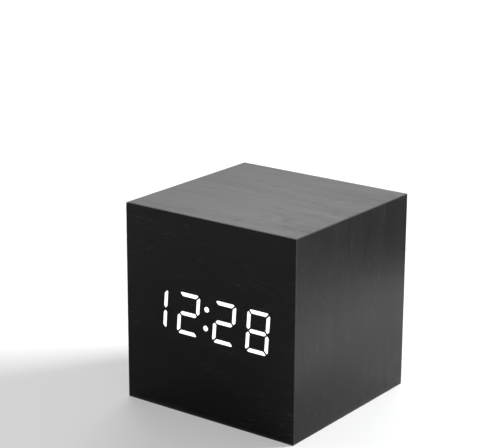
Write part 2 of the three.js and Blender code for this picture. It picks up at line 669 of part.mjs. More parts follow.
// A chip in a small-outline package, with its leads down both long sides.
function clockChip() {
  const x = DISPLAY_SHIFT + CHIP_PLACE_SHARE * (FLANGE_WIDTH / 2);
  const underside = DISPLAY_BOARD_BACK + CHIP_STANDOFF;
  const body = slab(x, DISPLAY_Z, CHIP_LENGTH, CHIP_WIDTH, underside, underside + CHIP_HEIGHT);
  const pitch = CHIP_LENGTH / CHIP_LEADS_A_SIDE;
  const leads = [];
  for (let i = 0; i < CHIP_LEADS_A_SIDE; i++) {
    const across = x + (i + 0.5) * pitch - CHIP_LENGTH / 2;
    leads.push(
      slab(
        across,
        DISPLAY_Z,
        CHIP_LEAD_WIDTH,
        CHIP_WIDTH + 2 * CHIP_LEAD_REACH,
        DISPLAY_BOARD_BACK + PART_GAP,
        DISPLAY_BOARD_BACK + CHIP_LEAD_RISE,
      ),
    );
  }
  return join(body, ...leads);
}

function buzzer() {
  const x = DISPLAY_SHIFT + BUZZER_PLACE_SHARE * (FLANGE_WIDTH / 2);
  const base = DISPLAY_BOARD_BACK + PART_GAP;
  const top = base + BUZZER_HEIGHT;
  return cut(
    barY(x, DISPLAY_Z, BUZZER_RADIUS, base, top, CELL_SIDES),
    barY(x, DISPLAY_Z, BUZZER_VENT_RADIUS, top - BUZZER_VENT_DEPTH, top + OVERRUN, SMALL_SIDES),
  );
}

function quartzCrystal() {
  const x = DISPLAY_SHIFT + CHIP_PLACE_SHARE * (FLANGE_WIDTH / 2);
  const y = DISPLAY_BOARD_BACK + PART_GAP + CRYSTAL_RADIUS;
  const z = DISPLAY_Z + CRYSTAL_RAISE;
  return barX(y, z, CRYSTAL_RADIUS, x - CRYSTAL_LENGTH / 2, x + CRYSTAL_LENGTH / 2);
}

function addDisplay() {
  add("display_lens", displayLens(), LIT_PLASTIC);
  add("display_reflector", displayReflector(), WHITE_PLASTIC);
  add("led_array", ledArray(), LED_RESIN);
  add("display_board", displayBoard(), GREEN_LAMINATE);
  add("clock_chip", clockChip(), CHIP_RESIN);
  add("alarm_buzzer", buzzer(), CHIP_RESIN);
  add("quartz_crystal", quartzCrystal(), NICKEL);
  displayScrewPlaces.forEach(([x, z], i) => {
    add("display_screw_" + (i + 1), screw(DISPLAY_SCREW, -1), DARK_STEEL, [x, DISPLAY_BOARD_BACK, z]);
  });
}

// Rear cover

const controlScrewPlaces = [-1, 1].map((side) => [(side * CONTROL_SCREW_SPACING) / 2, CONTROL_Z]);
const cellHeight = (i) => TRAY_INNER_BASE + (i + 0.5) * CELL_PITCH;

function rearCover() {
  const plateHalf = INNER_HALF - COVER_FIT;
  const plate = block(
    [-plateHalf, COVER_INNER, FLOOR + COVER_FIT],
    [plateHalf, COVER_OUTER, CEILING - COVER_FIT],
  );
  const tray = block([-TRAY_HALF, TRAY_FLOOR, TRAY_BASE], [TRAY_HALF, DOOR_INNER, TRAY_TOP]);
  const room = block(
    [-TRAY_INNER_HALF, TRAY_INNER_FLOOR, TRAY_INNER_BASE],
    [TRAY_INNER_HALF, COVER_OUTER + OVERRUN, TRAY_INNER_TOP],
  );
  const rebate = block(
    [-TRAY_INNER_HALF, DOOR_INNER - DOOR_GAP, TRAY_INNER_TOP - OVERRUN],
    [TRAY_INNER_HALF, COVER_OUTER + OVERRUN, DOOR_OPENING_TOP],
  );
  const shell = cut(
    join(plate, tray, ...controlBosses(), ...jackRails(), microphoneRing()),
    room,
    rebate,
    ...latchCuts(),
    ...hingeBores(),
    ...controlCuts(),
    ...coverScrewCuts(),
    ...tailSlots(),
  );
  return join(shell, ...cellRibs());
}

// Low ridges on the tray's floor that keep neighbouring cells apart.
function cellRibs() {
  const ribs = [];
  for (let i = 1; i < CELL_COUNT; i++) {
    const z = TRAY_INNER_BASE + i * CELL_PITCH;
    const sunk = TRAY_INNER_FLOOR - TRAY_WALL / 2;
    const outline = [
      [sunk, z - RIB_THICKNESS / 2],
      [TRAY_INNER_FLOOR, z - RIB_THICKNESS / 2],
      [TRAY_INNER_FLOOR + RIB_HEIGHT, z],
      [TRAY_INNER_FLOOR, z + RIB_THICKNESS / 2],
      [sunk, z + RIB_THICKNESS / 2],
    ];
    ribs.push(prismX(outline, -RIB_LENGTH / 2, RIB_LENGTH / 2));
  }
  return ribs;
}

// The notch for the latch, the way for its spring bend, and the scoop for a fingertip above it.
function latchCuts() {
  const half = LATCH_HALF + LATCH_SIDE_GAP;
  const notch = block(
    [-half, COVER_INNER - OVERRUN, DOOR_OPENING_TOP - OVERRUN],
    [half, COVER_OUTER + OVERRUN, LATCH_NOTCH_TOP],
  );
  const way = block(
    [-half, LATCH_BACK - LATCH_SIDE_GAP, TRAY_INNER_TOP - OVERRUN],
    [half, COVER_INNER, TRAY_TOP + OVERRUN],
  );
  const scoop = new THREE.SphereGeometry(1, ROUND_SIDES, SMALL_SIDES);
  scoop.scale(SCOOP_RADIUS, SCOOP_DEPTH, SCOOP_HEIGHT);
  scoop.translate(0, COVER_OUTER, LATCH_NOTCH_TOP);
  return [notch, way, solidOf(scoop)];
}

function hingeBores() {
  const radius = HINGE_PIN_RADIUS + HINGE_PIN_FIT;
  return [-1, 1].map((side) => {
    const ends = [side * (TRAY_INNER_HALF - OVERRUN), side * (INNER_HALF + OVERRUN)];
    return barX(HINGE_Y, HINGE_Z, radius, Math.min(...ends), Math.max(...ends));
  });
}

// Holes for the buttons, the sound switch, the power inlet and the microphone.
function controlCuts() {
  const [inside, outside] = [COVER_INNER - OVERRUN, COVER_OUTER + OVERRUN];
  const buttons = BUTTON_NAMES.map((_, i) =>
    barY(CONTROL_PLACES[i], CONTROL_Z, BUTTON_RADIUS + BUTTON_FIT, inside, outside),
  );
  const slot = slab(
    SWITCH_PLACE,
    CONTROL_Z,
    KNOB_WAY,
    KNOB_HEIGHT + 2 * KNOB_FIT,
    inside,
    outside,
  );
  const jack = barY(JACK_PLACE, STRIP_Z, JACK_COLLAR_RADIUS + JACK_COLLAR_FIT, inside, outside);
  const port = barY(MICROPHONE_PLACE, STRIP_Z, MICROPHONE_PORT_RADIUS, inside, outside, SMALL_SIDES);
  const pilots = controlScrewPlaces.map(([x, z]) => pilotHole(CONTROL_SCREW, x, z, CONTROL_BOARD_FRONT, 1));
  return [...buttons, slot, jack, port, ...pilots];
}

function coverScrewCuts() {
  const across = INNER_HALF - CORNER_BLOCK / 2;
  const levels = [FLOOR + CORNER_BLOCK / 2, CEILING - CORNER_BLOCK / 2];
  const { headRadius } = COVER_SCREW;
  return [-across, across].flatMap((x) =>
    levels.flatMap((z) => [
      screwHole(COVER_SCREW, x, z, COVER_INNER, COVER_OUTER),
      barY(x, z, headRadius + COUNTERBORE_FIT, COVER_OUTER - COUNTERBORE_DEPTH, COVER_OUTER + OVERRUN),
    ]),
  );
}

// Slots in the tray's floor for the solder tails of the two end contacts.
function tailSlots() {
  const width = CONTACT_THICKNESS + TAIL_FIT;
  return [[-1, 0], [1, CELL_COUNT - 1]].map(([side, cell]) =>
    slab(
      side * (TRAY_INNER_HALF - width / 2),
      cellHeight(cell),
      width,
      TAIL_WIDTH + 2 * TAIL_FIT,
      TRAY_FLOOR - OVERRUN,
      TRAY_INNER_FLOOR + OVERRUN,
    ),
  );
}

const controlBosses = () =>
  controlScrewPlaces.map(([x, z]) =>
    barY(x, z, BOSS_RADIUS, CONTROL_BOARD_REAR, COVER_INNER + COVER_THICKNESS / 2),
  );

const jackRails = () =>
  [-1, 1].map((side) =>
    slab(
      JACK_PLACE + side * (JACK_SIZE / 2 + JACK_FIT + JACK_RAIL / 2),
      STRIP_Z,
      JACK_RAIL,
      JACK_SIZE,
      COVER_INNER - JACK_RAIL_LENGTH,
      COVER_INNER + COVER_THICKNESS / 2,
    ),
  );

function microphoneRing() {
  const inner = MICROPHONE_RADIUS + MICROPHONE_FIT;
  const [low, high] = [COVER_INNER - MICROPHONE_HEIGHT, COVER_INNER + COVER_THICKNESS / 2];
  return cut(
    barY(MICROPHONE_PLACE, STRIP_Z, inner + MICROPHONE_RING, low, high),
    barY(MICROPHONE_PLACE, STRIP_Z, inner, low - OVERRUN, COVER_INNER),
  );
}

// Battery cells and contacts

// One cell lying along X, whose flat end is at x = 0 and positive end towards the sign of heading.
function batteryCell(heading) {
  const [radius, nub] = [CELL_DIAMETER / 2, NUB_DIAMETER / 2];
  const shoulder = CELL_LENGTH - NUB_HEIGHT;
  const body = turned(
    [
      [0, 0],
      [radius - CELL_EDGE, 0],
      [radius, CELL_EDGE],
      [radius, shoulder - CELL_EDGE],
      [radius - CELL_EDGE, shoulder],
      [nub, shoulder],
      [nub, CELL_LENGTH],
      [0, CELL_LENGTH],
    ],
    CELL_SIDES,
  );
  return solidOf(body.rotateZ((-heading * Math.PI) / 2));
}

// The sections of a conical spring along X from its plate to its cell, as a centre and two arms each.
// Both ends run straight, square to the plate and to the cell.
function springSections() {
  const straight = SPRING_WIRE;
  const [root, tip] = [PLATE_INSIDE + SPRING_ROOT, CELL_LENGTH - PLATE_INSIDE + 2 * CONTACT_FIT];
  const steps = Math.round(SPRING_TURNS * SPRING_STEPS_A_TURN);
  const section = (x, share, along, across) => {
    const angle = share * SPRING_TURNS * 2 * Math.PI;
    const out = new THREE.Vector3(0, Math.cos(angle), Math.sin(angle));
    const onward = new THREE.Vector3(0, -Math.sin(angle), Math.cos(angle));
    const radius = SPRING_BASE_RADIUS * THREE.MathUtils.lerp(1, SPRING_TIP_SHARE, share);
    const centre = out.clone().multiplyScalar(radius).setX(x);
    return { centre, out, arm: onward.multiplyScalar(-across).setX(-along) };
  };
  const sections = [section(root, 0, 0, 1), section(root - straight, 0, 1, 1)];
  for (let step = 1; step < steps; step++) {
    const x = THREE.MathUtils.lerp(root - straight, tip + straight, step / steps);
    sections.push(section(x, step / steps, 1, 0));
  }
  sections.push(section(tip + straight, 1, 1, 1), section(tip, 1, 0, 1));
  return sections;
}

// One contact spring on the given side, at the height of its cell.
function contactSpring(i, side) {
  const sections = springSections();
  const positions = sections.flatMap(({ centre, out, arm }) => {
    const ring = [];
    for (let corner = 0; corner < SPRING_SIDES; corner++) {
      const turn = (corner / SPRING_SIDES) * 2 * Math.PI;
      const point = centre.clone();
      point.addScaledVector(out, (SPRING_WIRE / 2) * Math.cos(turn));
      point.addScaledVector(arm, (SPRING_WIRE / 2) * Math.sin(turn));
      ring.push(...point.toArray());
    }
    return ring;
  });
  const last = sections.length - 1;
  const at = (row, corner) => row * SPRING_SIDES + (corner % SPRING_SIDES);
  const triangles = [];
  for (let row = 0; row < last; row++) {
    for (let corner = 0; corner < SPRING_SIDES; corner++) {
      const [a, b] = [at(row, corner), at(row, corner + 1)];
      const [c, d] = [at(row + 1, corner), at(row + 1, corner + 1)];
      triangles.push(a, b, c, b, d, c);
    }
  }
  for (let corner = 1; corner < SPRING_SIDES - 1; corner++) {
    triangles.push(at(0, 0), at(0, corner + 1), at(0, corner));
    triangles.push(at(last, 0), at(last, corner), at(last, corner + 1));
  }
  const geometry = new THREE.BufferGeometry();
  geometry.setAttribute("position", new THREE.Float32BufferAttribute(positions, 3));
  geometry.setIndex(triangles);
  geometry.rotateZ(side > 0 ? 0 : Math.PI);
  geometry.translate(0, CELL_Y, cellHeight(i));
  return solidOf(geometry);
}

// The least distance between points of a spring that lie more than half a turn apart, less the wire.
function leastSpringGap() {
  const centres = springSections().map(({ centre }) => centre);
  let least = Infinity;
  centres.forEach((here, i) =>
    centres.slice(i + SPRING_STEPS_A_TURN / 2 + 1).forEach((there) => {
      least = Math.min(least, here.distanceTo(there) - SPRING_WIRE);
    }),
  );
  return least;
}

// A flat contact plate against the tray's end wall, over the cells from first to last.
function contactPlate(side, first, last) {
  const ends = [side * PLATE_INSIDE, side * PLATE_OUTSIDE];
  const half = CONTACT_WIDTH / 2;
  return block(
    [Math.min(...ends), CELL_Y - half, cellHeight(first) - half],
    [Math.max(...ends), CELL_Y + half, cellHeight(last) + half],
  );
}

function solderTail(side, cell) {
  const ends = [side * PLATE_INSIDE, side * PLATE_OUTSIDE];
  const z = cellHeight(cell);
  return block(
    [Math.min(...ends), TAIL_END, z - TAIL_WIDTH / 2],
    [Math.max(...ends), CELL_Y, z + TAIL_WIDTH / 2],
  );
}

// Every second cell is turned round, so that the cells lie in series.
function addBattery() {
  for (let i = 0; i < CELL_COUNT; i++) {
    const heading = i % 2 ? -1 : 1;
    const start = heading * (PLATE_INSIDE - CONTACT_FIT - CELL_LENGTH);
    add("battery_cell_" + (i + 1), batteryCell(heading), CELL_SLEEVE, [start, CELL_Y, cellHeight(i)]);
  }
  const last = CELL_COUNT - 1;
  add("negative_contact", join(contactPlate(-1, 0, 0), solderTail(-1, 0), contactSpring(0, -1)), NICKEL);
  add("right_bridge_contact", join(contactPlate(1, 0, 1), contactSpring(1, 1)), NICKEL);
  add("left_bridge_contact", join(contactPlate(-1, 1, last), contactSpring(last, -1)), NICKEL);
  add("positive_contact", join(contactPlate(1, last, last), solderTail(1, last)), NICKEL);
  console.log("least gap of a battery spring to itself: " + leastSpringGap().toFixed(2) + " mm");
}

// Battery door and latch

// The door turns about two stub pins at its lower corners. Its lower edge is round about the same axis.
function batteryDoor() {
  const radius = DOOR_THICKNESS / 2;
  const sill = block([-DOOR_HALF, DOOR_INNER, HINGE_Z], [DOOR_HALF, COVER_OUTER, DOOR_TOP]);
  const lowerEdge = barX(HINGE_Y, HINGE_Z, radius, -DOOR_HALF, DOOR_HALF, ROUND_SIDES);
  const half = LATCH_HALF + LATCH_SIDE_GAP / 2;
  const notch = block(
    [-half, DOOR_INNER - OVERRUN, LATCH_SILL],
    [half, COVER_OUTER + OVERRUN, DOOR_TOP + OVERRUN],
  );
  const pins = [-1, 1].map((side) => {
    const ends = [side * (DOOR_HALF - OVERRUN), side * (DOOR_HALF + HINGE_PIN_LENGTH)];
    return barX(HINGE_Y, HINGE_Z, HINGE_PIN_RADIUS, Math.min(...ends), Math.max(...ends));
  });
  const ribInner = DOOR_INNER - CELL_TO_DOOR + DOOR_RIB_GAP;
  const ribs = [-1, 1].map((side) =>
    block(
      [(side * DOOR_RIB_SPACING - DOOR_RIB_THICKNESS) / 2, ribInner, cellHeight(0)],
      [(side * DOOR_RIB_SPACING + DOOR_RIB_THICKNESS) / 2, HINGE_Y, cellHeight(CELL_COUNT - 1)],
    ),
  );
  const foot = [-LATCH_HALF, LATCH_BACK, LATCH_SILL - LATCH_THICKNESS];
  const web = block(foot, [LATCH_HALF, HINGE_Y, LATCH_SILL]);
  const bend = block(foot, [LATCH_HALF, LATCH_BACK + LATCH_THICKNESS, LATCH_BEND_TOP]);
  return join(cut(sill, notch), lowerEdge, ...pins, ...ribs, web, bend);
}

// The latch's free leg, with the thumb pad on its outer end and the lip that catches behind the cover.
// It springs about its round back end, which stands on the bend that the door carries.
function doorLatch() {
  const pivot = LATCH_BACK + LATCH_THICKNESS / 2;
  const leg = block([-LATCH_HALF, pivot, LATCH_LEG_BASE], [LATCH_HALF, COVER_OUTER, LATCH_LEG_TOP]);
  const back = barX(pivot, LATCH_LEG_TOP - LATCH_THICKNESS / 2, LATCH_THICKNESS / 2, -LATCH_HALF, LATCH_HALF);
  const pad = block(
    [-LATCH_HALF, COVER_OUTER - LATCH_PAD_THICKNESS, LATCH_LEG_TOP - LATCH_PAD_HEIGHT],
    [LATCH_HALF, COVER_OUTER, LATCH_LEG_TOP],
  );
  const face = COVER_INNER - LATCH_LIP_GAP;
  const root = LATCH_LEG_TOP - LATCH_THICKNESS / 2;
  const crest = LATCH_LEG_TOP + LATCH_LIP_HEIGHT;
  const lip = prismX(
    [
      [face - LATCH_LIP_CREST - LATCH_LIP_RAMP, root],
      [face, root],
      [face, crest],
      [face - LATCH_LIP_CREST, crest],
      [face - LATCH_LIP_CREST - LATCH_LIP_RAMP, LATCH_LEG_TOP],
    ],
    -LATCH_LIP_WIDTH / 2,
    LATCH_LIP_WIDTH / 2,
  );
  return join(leg, back, pad, lip);
}

// Controls

function controlBoard() {
  const body = slab(
    0,
    CONTROL_Z,
    CONTROL_BOARD_WIDTH,
    CONTROL_BOARD_HEIGHT,
    CONTROL_BOARD_FRONT,
    CONTROL_BOARD_REAR,
  );
  const holes = controlScrewPlaces.map(([x, z]) =>
    screwHole(CONTROL_SCREW, x, z, CONTROL_BOARD_FRONT, CONTROL_BOARD_REAR),
  );
  return cut(body, ...holes);
}

// A round push button whose flange is held behind the cover.
function button() {
  const top = COVER_OUTER + BUTTON_PROUD;
  const flangeTop = COVER_INNER - BUTTON_FLANGE_GAP;
  const body = turned([
    [0, flangeTop - BUTTON_FLANGE],
    [BUTTON_FLANGE_RADIUS, flangeTop - BUTTON_FLANGE],
    [BUTTON_FLANGE_RADIUS, flangeTop],
    [BUTTON_RADIUS, flangeTop],
    [BUTTON_RADIUS, top - BUTTON_DISH_DEPTH],
    [BUTTON_RADIUS - BUTTON_DISH_DEPTH, top],
    [BUTTON_DISH_RADIUS, top],
    [0, top - BUTTON_DISH_DEPTH],
  ]);
  return solidOf(body);
}

function pushSwitch(i) {
  const x = CONTROL_PLACES[i];
  const top = CONTROL_BOARD_REAR + TACT_HEIGHT;
  return cut(
    slab(x, CONTROL_Z, TACT_SIZE, TACT_SIZE, CONTROL_BOARD_REAR, top),
    barY(x, CONTROL_Z, PLUNGER_RADIUS + PLUNGER_FIT, top - PLUNGER_SEAT, top + OVERRUN),
  );
}

function plunger(i) {
  const base = CONTROL_BOARD_REAR + TACT_HEIGHT - PLUNGER_SEAT + PLUNGER_CLEARANCE;
  const top = COVER_INNER - BUTTON_FLANGE_GAP - BUTTON_FLANGE;
  return barY(CONTROL_PLACES[i], CONTROL_Z, PLUNGER_RADIUS, base, top);
}

function soundSwitchBody() {
  const top = CONTROL_BOARD_REAR + SWITCH_DEPTH;
  return cut(
    slab(SWITCH_PLACE, CONTROL_Z, SWITCH_LENGTH, SWITCH_HEIGHT, CONTROL_BOARD_REAR, top),
    slab(
      SWITCH_PLACE,
      CONTROL_Z,
      KNOB_WAY,
      KNOB_HEIGHT + 2 * KNOB_FIT,
      top - KNOB_SEAT,
      top + OVERRUN,
    ),
  );
}

// The sound switch's knob at the left end of its travel.
function soundSwitchKnob() {
  const base = CONTROL_BOARD_REAR + SWITCH_DEPTH - KNOB_SEAT + KNOB_CLEARANCE;
  const x = SWITCH_PLACE - SWITCH_TRAVEL / 2;
  return slab(x, CONTROL_Z, KNOB_WIDTH, KNOB_HEIGHT, base, COVER_OUTER + KNOB_PROUD);
}

function addControls() {
  add("control_board", controlBoard(), GREEN_LAMINATE);
  BUTTON_NAMES.forEach((name, i) => {
    add(name + "_button", button(), BUTTON_PLASTIC, [CONTROL_PLACES[i], 0, CONTROL_Z]);
    add(name + "_push_switch", pushSwitch(i), CHIP_RESIN);
    add(name + "_plunger", plunger(i), WHITE_PLASTIC);
  });
  add("sound_switch_body", soundSwitchBody(), NICKEL);
  add("sound_switch_knob", soundSwitchKnob(), BUTTON_PLASTIC);
  controlScrewPlaces.forEach(([x, z], i) => {
    add("control_screw_" + (i + 1), screw(CONTROL_SCREW, 1), DARK_STEEL, [x, CONTROL_BOARD_FRONT, z]);
  });
}

// Power inlet and microphone

function powerJack() {
  return cut(
    join(
      slab(JACK_PLACE, STRIP_Z, JACK_SIZE, JACK_SIZE, JACK_BACK, COVER_INNER - PART_GAP),
      barY(JACK_PLACE, STRIP_Z, JACK_COLLAR_RADIUS, COVER_INNER - OVERRUN, COVER_OUTER),
    ),
    barY(JACK_PLACE, STRIP_Z, JACK_BORE_RADIUS, COVER_OUTER - JACK_BORE_DEPTH, COVER_OUTER + OVERRUN),
    barY(
      JACK_PLACE,
      STRIP_Z,
      JACK_PIN_RADIUS + JACK_PIN_FIT,
      JACK_BACK - OVERRUN,
      COVER_OUTER - JACK_BORE_DEPTH + OVERRUN,
      SMALL_SIDES,
    ),
  );
}

function jackPin() {
  const [back, front] = [JACK_BACK - JACK_PIN_TAIL, COVER_OUTER - JACK_PIN_RECESS];
  return barY(JACK_PLACE, STRIP_Z, JACK_PIN_RADIUS, back, front, SMALL_SIDES);
}

function microphone() {
  const front = COVER_INNER - PART_GAP;
  const [x, port] = [MICROPHONE_PLACE, MICROPHONE_PORT_RADIUS];
  return cut(
    barY(x, STRIP_Z, MICROPHONE_RADIUS, front - MICROPHONE_HEIGHT, front),
    barY(x, STRIP_Z, port, front - port, front + OVERRUN, SMALL_SIDES),
  );
}

// Leads

// A lead of the given section. It leaves start along Y for the length of its stub, sags, and
// reaches end along Y.
function lead(outline, start, stub, end, sag) {
  const [a, b] = [new THREE.Vector3(...start), new THREE.Vector3(...end)];
  const heading = new THREE.Vector3(0, Math.sign(b.y - a.y), 0);
  const leave = a.clone().addScaledVector(heading, stub);
  const arrive = b.clone().addScaledVector(heading, -LEAD_STUB);
  const middle = leave.clone().add(arrive).multiplyScalar(0.5);
  middle.z -= sag;
  const path = new THREE.CatmullRomCurve3([a, leave, middle, arrive, b]);
  const shape = new THREE.Shape(outline);
  const settings = { steps: WIRE_STEPS, bevelEnabled: false, extrudePath: path };
  return solidOf(new THREE.ExtrudeGeometry(shape, settings));
}

function roundOutline(radius) {
  const points = [];
  for (let i = 0; i < WIRE_SIDES; i++) {
    const angle = (i / WIRE_SIDES) * 2 * Math.PI;
    points.push(new THREE.Vector2(radius * Math.cos(angle), radius * Math.sin(angle)));
  }
  return points;
}

function ribbonOutline() {
  const [across, up] = [RIBBON_WIDTH / 2, RIBBON_THICKNESS / 2];
  return [[-across, -up], [across, -up], [across, up], [-across, up]].map(
    ([x, y]) => new THREE.Vector2(x, y),
  );
}

function addLeads() {
  const boardFace = DISPLAY_BOARD_BACK + LEAD_GAP;
  const tailX = (PLATE_INSIDE + PLATE_OUTSIDE) / 2;
  const tailY = TAIL_END - LEAD_GAP;
  const edgeX = FLANGE_WIDTH / 2 - LEAD_INSET;
  const edgeZ = FLANGE_HEIGHT / 2 - LEAD_INSET;
  const [left, right] = [DISPLAY_SHIFT - edgeX, DISPLAY_SHIFT + edgeX];
  const [low, high] = [DISPLAY_Z - edgeZ, DISPLAY_Z + edgeZ];
  const last = CELL_COUNT - 1;
  const pastTray = (y) => y - TRAY_FLOOR + LEAD_STUB;
  const batteryLead = (tail, end) =>
    lead(roundOutline(BATTERY_LEAD_RADIUS), tail, LEAD_STUB, end, LEAD_SAG);
  add(
    "battery_lead_red",
    batteryLead([tailX, tailY, cellHeight(last)], [right, boardFace, high]),
    RED_SHEATH,
  );
  add(
    "battery_lead_black",
    batteryLead([-tailX, tailY, cellHeight(0)], [left, boardFace, low]),
    BLACK_SHEATH,
  );
  const jackEnd = JACK_BACK - JACK_PIN_TAIL - LEAD_GAP;
  add(
    "power_lead",
    lead(
      roundOutline(POWER_LEAD_RADIUS),
      [JACK_PLACE, jackEnd, STRIP_Z],
      pastTray(jackEnd),
      [JACK_PLACE, boardFace, low],
      0,
    ),
    BLACK_SHEATH,
  );
  const microphoneEnd = COVER_INNER - PART_GAP - MICROPHONE_HEIGHT - LEAD_GAP;
  add(
    "microphone_lead",
    lead(
      roundOutline(MICROPHONE_LEAD_RADIUS),
      [MICROPHONE_PLACE, microphoneEnd, STRIP_Z],
      pastTray(microphoneEnd),
      [MICROPHONE_PLACE, boardFace, low],
      LEAD_SAG,
    ),
    GREY_SHEATH,
  );
  const ribbonEnd = CONTROL_BOARD_FRONT - LEAD_GAP;
  add(
    "board_ribbon",
    lead(
      ribbonOutline(),
      [0, ribbonEnd, CONTROL_Z],
      pastTray(ribbonEnd),
      [0, boardFace, high],
      RIBBON_SAG,
    ),
    GREY_SHEATH,
  );
}

addCase();
addDisplay();
add("rear_cover", rearCover(), BLACK_PLASTIC);
addBattery();
add("battery_door", batteryDoor(), BLACK_PLASTIC);
add("door_latch", doorLatch(), BLACK_PLASTIC);
addControls();
add("power_jack", powerJack(), BLACK_PLASTIC);
add("power_jack_pin", jackPin(), BRASS);
add("microphone", microphone(), DARK_STEEL);
addLeads();

export default clock;
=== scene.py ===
import math

import bmesh
import bpy
from bpy.props import FloatProperty, FloatVectorProperty, PointerProperty
from mathutils import Matrix, Vector


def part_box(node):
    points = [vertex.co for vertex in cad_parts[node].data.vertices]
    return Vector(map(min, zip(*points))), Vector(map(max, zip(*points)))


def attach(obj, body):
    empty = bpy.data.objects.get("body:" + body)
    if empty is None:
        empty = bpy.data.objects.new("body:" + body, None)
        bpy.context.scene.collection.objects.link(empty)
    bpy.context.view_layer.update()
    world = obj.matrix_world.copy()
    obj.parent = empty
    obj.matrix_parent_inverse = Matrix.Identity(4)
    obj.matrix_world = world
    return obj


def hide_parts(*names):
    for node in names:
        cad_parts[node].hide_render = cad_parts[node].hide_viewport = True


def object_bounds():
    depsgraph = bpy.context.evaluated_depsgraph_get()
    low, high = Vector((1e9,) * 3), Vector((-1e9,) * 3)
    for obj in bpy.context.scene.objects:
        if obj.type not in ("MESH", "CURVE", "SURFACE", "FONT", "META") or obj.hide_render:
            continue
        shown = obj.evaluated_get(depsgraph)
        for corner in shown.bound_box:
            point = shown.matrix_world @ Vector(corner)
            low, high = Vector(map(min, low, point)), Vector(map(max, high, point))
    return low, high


bl_info = {
    "name": "Wooden digital desk clock",
    "version": (1, 0, 0),
    "blender": (4, 5, 0),
    "location": "3D View > Sidebar > Desk clock",
    "description": "Dresses the solids of a small wooden digital desk clock",
    "category": "Object",
}

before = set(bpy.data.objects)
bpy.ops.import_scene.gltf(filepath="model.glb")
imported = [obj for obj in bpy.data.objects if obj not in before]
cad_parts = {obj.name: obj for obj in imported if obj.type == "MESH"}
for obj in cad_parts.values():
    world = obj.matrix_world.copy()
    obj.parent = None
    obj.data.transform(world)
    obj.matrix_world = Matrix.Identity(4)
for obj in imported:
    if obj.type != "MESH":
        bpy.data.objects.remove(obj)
CAD_LOW, CAD_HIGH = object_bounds()

MM = 0.001
X_AXIS, Y_AXIS, Z_AXIS = 0, 1, 2
ALONG_Y = (0, 1, 0)
ORIGIN = (0.0, 0.0, 0.0)
EVEN = (1.0, 1.0, 1.0)
WHITE = (1.0, 1.0, 1.0, 1.0)
FINISH_PREFIX = "clock_"
BUTTONS = ("set", "up", "down")
CORNERS = [height + "_" + side for height in ("lower", "upper") for side in ("left", "right")]
COVER_SCREWS = [corner + "_cover_screw" for corner in CORNERS]


# Shader expressions


class Wire:
    """An output of a node, as a term of an expression."""

    def __init__(self, nodes, socket):
        self.nodes, self.socket = nodes, socket

    def __add__(self, other):
        return self.nodes.calc("ADD", self, other)

    def __sub__(self, other):
        return self.nodes.calc("SUBTRACT", self, other)

    def __rsub__(self, other):
        return self.nodes.calc("SUBTRACT", other, self)

    def __mul__(self, other):
        return self.nodes.calc("MULTIPLY", self, other)

    __radd__ = __add__
    __rmul__ = __mul__


class Nodes:
    """A node tree in the making."""

    def __init__(self, tree):
        self.tree = tree

    def put(self, socket, value):
        """Links a socket to a wire, or sets its value."""
        if isinstance(value, Wire):
            self.tree.links.new(value.socket, socket)
        else:
            socket.default_value = value

    def node(self, kind, settings=None, sockets=None, output=0):
        """A new node with its settings and the values or wires of its sockets. Gives one output."""
        made = self.tree.nodes.new(kind)
        for key, value in (settings or {}).items():
            setattr(made, key, value)
        for key, value in (sockets or {}).items():
            self.put(made.inputs[key], value)
        return Wire(self, made.outputs[output])

    def calc(self, operation, *terms):
        """A sum or other reckoning of wires and numbers."""
        sockets = {i: term for i, term in enumerate(terms)}
        return self.node("ShaderNodeMath", {"operation": operation}, sockets)


